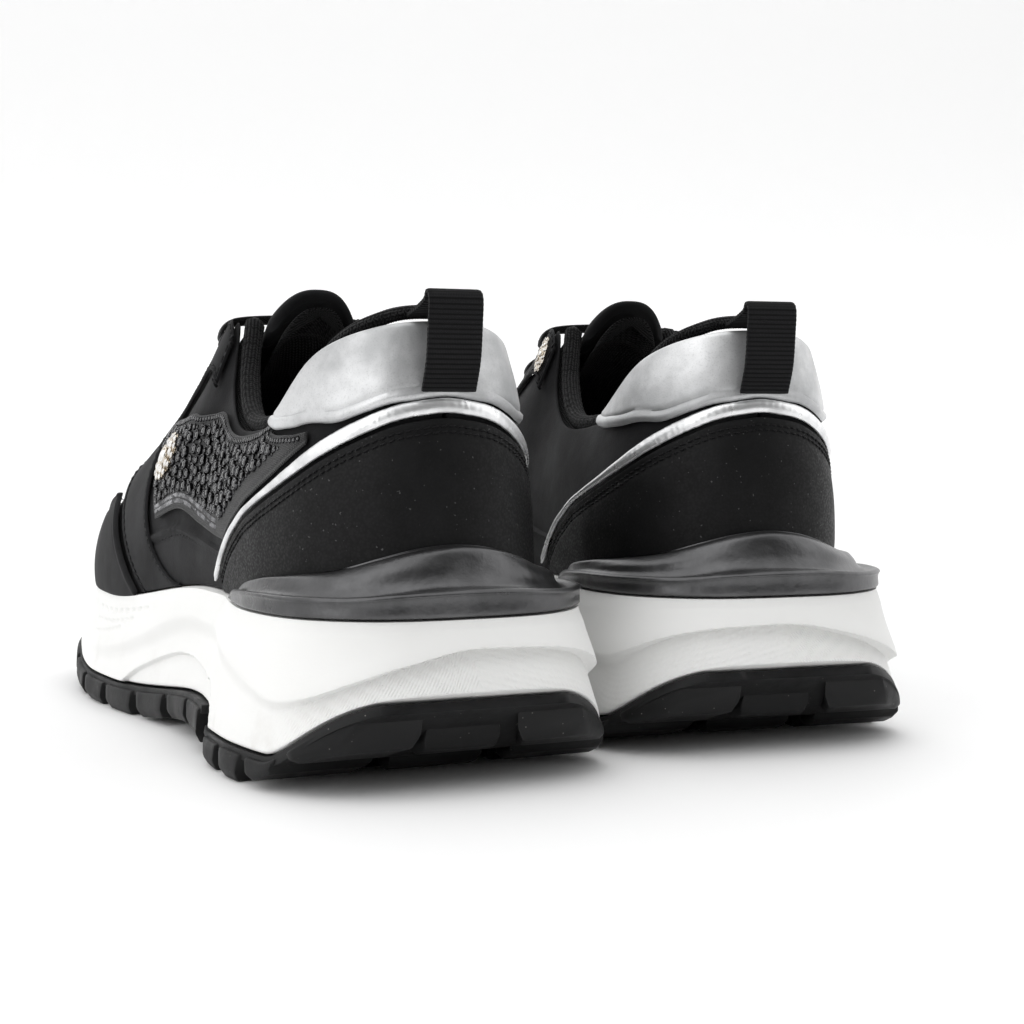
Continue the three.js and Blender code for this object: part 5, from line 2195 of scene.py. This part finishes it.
@dataclass
class Inside:
    """What shows inside the shoe: the sockliner with its raised edge, and the linings."""

    inset: float = 4.1
    low: float = 2.6
    thick: float = 4.2

    def build(self, looks: "Looks") -> None:
        """Shape and place the sockliner, and dress the CAD's own inner layers."""
        u = np.linspace(0, ROUND, 281)
        edge, up = LAST.seat(u) - LAST.outward(u) * self.inset, UP
        floor = edge + up * self.low
        top = edge + up * (self.low + self.thick)
        out = LAST.outward(u)
        wall = np.stack([floor, floor + up * 1.2 + out * 0.1, top - up * 0.9 + out * 0.1, top - out * 0.8], 1)
        cover = inward(top - out * 0.8, (0.06, 0.2, 0.4, 0.7, 1))
        cover[:, 1:, 2] -= 0.9
        cover[:, 0, 2] -= 0.3
        bottom = inward(floor, (1, 0.6, 0.2))
        obj = finished(close(grid("sockliner", np.concatenate([bottom, wall, cover], 1))), 60)
        pair_up(obj, "sockliner_cloth", looks.sock, ("sockliner",))
        for side in Side:
            for node, material in (
                ("lining_outer", looks.lining), ("lining_inner", looks.lining),
                ("heel_stiffener", looks.board), ("toe_puff", looks.board), ("lasting_board", looks.board),
            ):
                mesh = frame["nodes"][f"{side.word}_{node}"].data
                mesh.materials.clear()
                mesh.materials.append(material)


# ---- Studio and assembly -------------------------------------------------------------------------
def look(finish: type, *values: object) -> Material:
    """A field that holds one finish's material, made when the looks are.

    Args:
        finish: The finish.
        values: Its own values, in order.

    Returns:
        The field.
    """
    return field(default_factory=lambda: finish(*values).build())


@dataclass
class Looks:
    """Every finish of the pair."""

    nubuck: Material = look(Nubuck)
    leather: Material = look(GrainLeather)
    silver: Material = look(SilverLeather)
    piping: Material = look(SilverPiping)
    knit: Material = look(RibKnit)
    webbing: Material = look(Grosgrain)
    lace: Material = look(Lacing)
    foam: Material = look(MouldedFoam)
    rubber: Material = look(TreadRubber)
    clip: Material = look(PearlClip)
    thread: Material = look(Thread)
    grey_thread: Material = look(Thread, "grey_thread", (0.03, 0.03, 0.032), (0.1, 0.1, 0.105))
    stone_ground: Material = look(
        Cloth, "stone_ground", (0.0025, 0.0025, 0.003), (0.011, 0.011, 0.012), 0.0007
    )
    stone: Material = look(
        SetStone, "stone", (0.002, 0.002, 0.0025), (0.012, 0.012, 0.013), 0.1, 0.1, 1.0
    )
    ring: Material = look(SetStone, "ring", (0.006, 0.006, 0.007), (0.13, 0.13, 0.135), 1.0, 0.13)
    bead: Material = look(SetStone, "bead", (0.03, 0.03, 0.032), (0.3, 0.3, 0.31), 0.9, 0.2, 0.5)
    setting: Material = look(SetStone, "setting", (0.62, 0.56, 0.48), (0.8, 0.75, 0.67), 1.0, 0.2)
    gem: Material = look(SetStone, "gem", (0.5, 0.48, 0.46), (0.95, 0.94, 0.92), 0.55, 0.06, 1.0)
    eyelet: Material = look(SetStone, "eyelet", (0.012, 0.012, 0.013), (0.03, 0.03, 0.032), 0.8, 0.3)
    sock: Material = look(Cloth, "sock", (0.006, 0.006, 0.0065), (0.03, 0.03, 0.032))
    lining: Material = look(Cloth, "lining", (0.006, 0.006, 0.0065), (0.024, 0.024, 0.026), 0.0012)
    board: Material = look(Cloth, "board", (0.3, 0.25, 0.18), (0.52, 0.46, 0.36), 0.0016)
    floor: Material = look(Paper)


# Each lamp's name, place, aim, size and power.
LAMPS = (
    ("key", (-0.5, -0.3, 1.5), (0, 0, 0.03), (1.4, 1.4), 3),
    ("left", (-1.5, -0.9, 0.8), (0, 0, 0.06), (0.9, 1.3), 3.5),
    ("right", (1.4, -0.9, 0.7), (0, 0, 0.06), (0.9, 1.2), 2.2),
    ("back", (0.2, 1.6, 1.2), (0, 0, 0.05), (1.6, 0.8), 3),
)


@dataclass
class Studio:
    """Pale floor, soft white light and the camera."""

    eye: tuple[float, float, float] = (-0.2205, -0.594, 0.0965)
    heading: float = 22.1
    tilt: float = 3.07
    lens: float = 66.8
    dim: tuple[float, float, float] = (0.22, -0.96, 0.12)
    ambient: float = 1.24
    sensor: float = 36.0

    def camera(self) -> None:
        """Set up the camera."""
        data = bpy.data.cameras.new("camera")
        data.lens, data.sensor_width, data.clip_start = self.lens, self.sensor, 0.01
        camera = bpy.data.objects.new("camera", data)
        bpy.context.scene.collection.objects.link(camera)
        camera.location = self.eye
        camera.rotation_euler = (math.radians(90 - self.tilt), 0, -math.radians(self.heading))
        bpy.context.scene.camera = camera

    def floor(self, looks: Looks) -> None:
        """Lay the floor, swept up behind the object."""
        flat, sweep = np.linspace(-6, 5, 45), np.linspace(0.1, 1.57, 14)
        y = np.concatenate([flat, 5 + 2 * np.sin(sweep), np.full(6, 7.0)])
        z = np.concatenate([0 * flat, 2 - 2 * np.cos(sweep), np.linspace(2.4, 6, 6)])
        x = np.linspace(-8, 8, 33)
        points = np.stack(np.broadcast_arrays(x[:, None], y[None], z[None]), -1)
        obj = grid("floor", points)
        face_along(obj, np.broadcast_to(UP, points.shape))
        obj.data.materials.append(looks.floor)
        finished(obj, 60)

    def lamp(
        self, name: str, place: Sequence[float], aim: Sequence[float], size: Sequence[float], power: float
    ) -> None:
        """Hang one soft area lamp.

        Args:
            name: Its name.
            place: Where it hangs.
            aim: What it points at.
            size: Its width and height.
            power: Its power in watts.
        """
        data = bpy.data.lights.new(name, "AREA")
        data.shape, data.size, data.size_y, data.energy = "RECTANGLE", size[0], size[1], power
        lamp = bpy.data.objects.new(name, data)
        bpy.context.scene.collection.objects.link(lamp)
        lamp.location = place
        lamp.rotation_euler = (Vector(aim) - Vector(place)).to_track_quat("-Z", "Y").to_euler()

    def build(self, looks: Looks) -> None:
        """Set up the studio."""
        self.camera()
        self.floor(looks)
        scene = bpy.context.scene
        world = bpy.data.worlds.new("studio")
        world.use_nodes = True
        tree = world.node_tree
        where = tree.nodes.new("ShaderNodeTexCoord").outputs["Generated"]
        facing = tree.nodes.new("ShaderNodeVectorMath")
        facing.operation = "DOT_PRODUCT"
        facing.inputs[1].default_value = self.dim
        shade = tree.nodes.new("ShaderNodeMapRange")
        shade.interpolation_type = "SMOOTHSTEP"
        for name, value in (("From Min", 0.35), ("From Max", 0.97), ("To Min", 1.0), ("To Max", 0.06)):
            shade.inputs[name].default_value = value
        tree.links.new(where, facing.inputs[0])
        tree.links.new(facing.outputs["Value"], shade.inputs["Value"])
        tree.links.new(shade.outputs[0], tree.nodes["Background"].inputs["Color"])
        tree.nodes["Background"].inputs["Strength"].default_value = self.ambient
        scene.world = world
        scene.view_settings.view_transform = "Standard"
        for lamp in LAMPS:
            self.lamp(*lamp)


def main() -> None:
    """Build the studio and both shoes, and report each piece."""
    logging.basicConfig(level=logging.INFO, format="%(message)s")
    looks = Looks()
    Studio().build(looks)
    pair_up(Midsole().build(), "midsole_foam", looks.foam, ("midsole",))
    for part, sizes in (("heel", (-24, 47, 17.5)), ("forefoot", (53, 260, 26))):
        sole = Outsole(*sizes).build()
        pair_up(sole, f"outsole_{part}_lugs", looks.rubber, (f"outsole_{part}",))
    pair_up(HeelClip().build(), "heel_clip_moulded", looks.clip, ("heel_clip",))
    Upper().build(looks)
    pair_up(Piping().build(), "piping_cord", looks.piping, ("piping",))
    CrystalPanel().build(looks)
    Ornament(7.5, 8.3, 0.42, 0.58, "ornament_outer").build(looks)
    Ornament(-6.75, -7.1, 0.8, 0.94, "ornament_inner").build(looks)
    Collar().build(looks)
    Tongue().build(looks)
    Lace().build(looks)
    PullLoop().build(looks)
    Inside().build(looks)


if __name__ == "__main__":
    main()
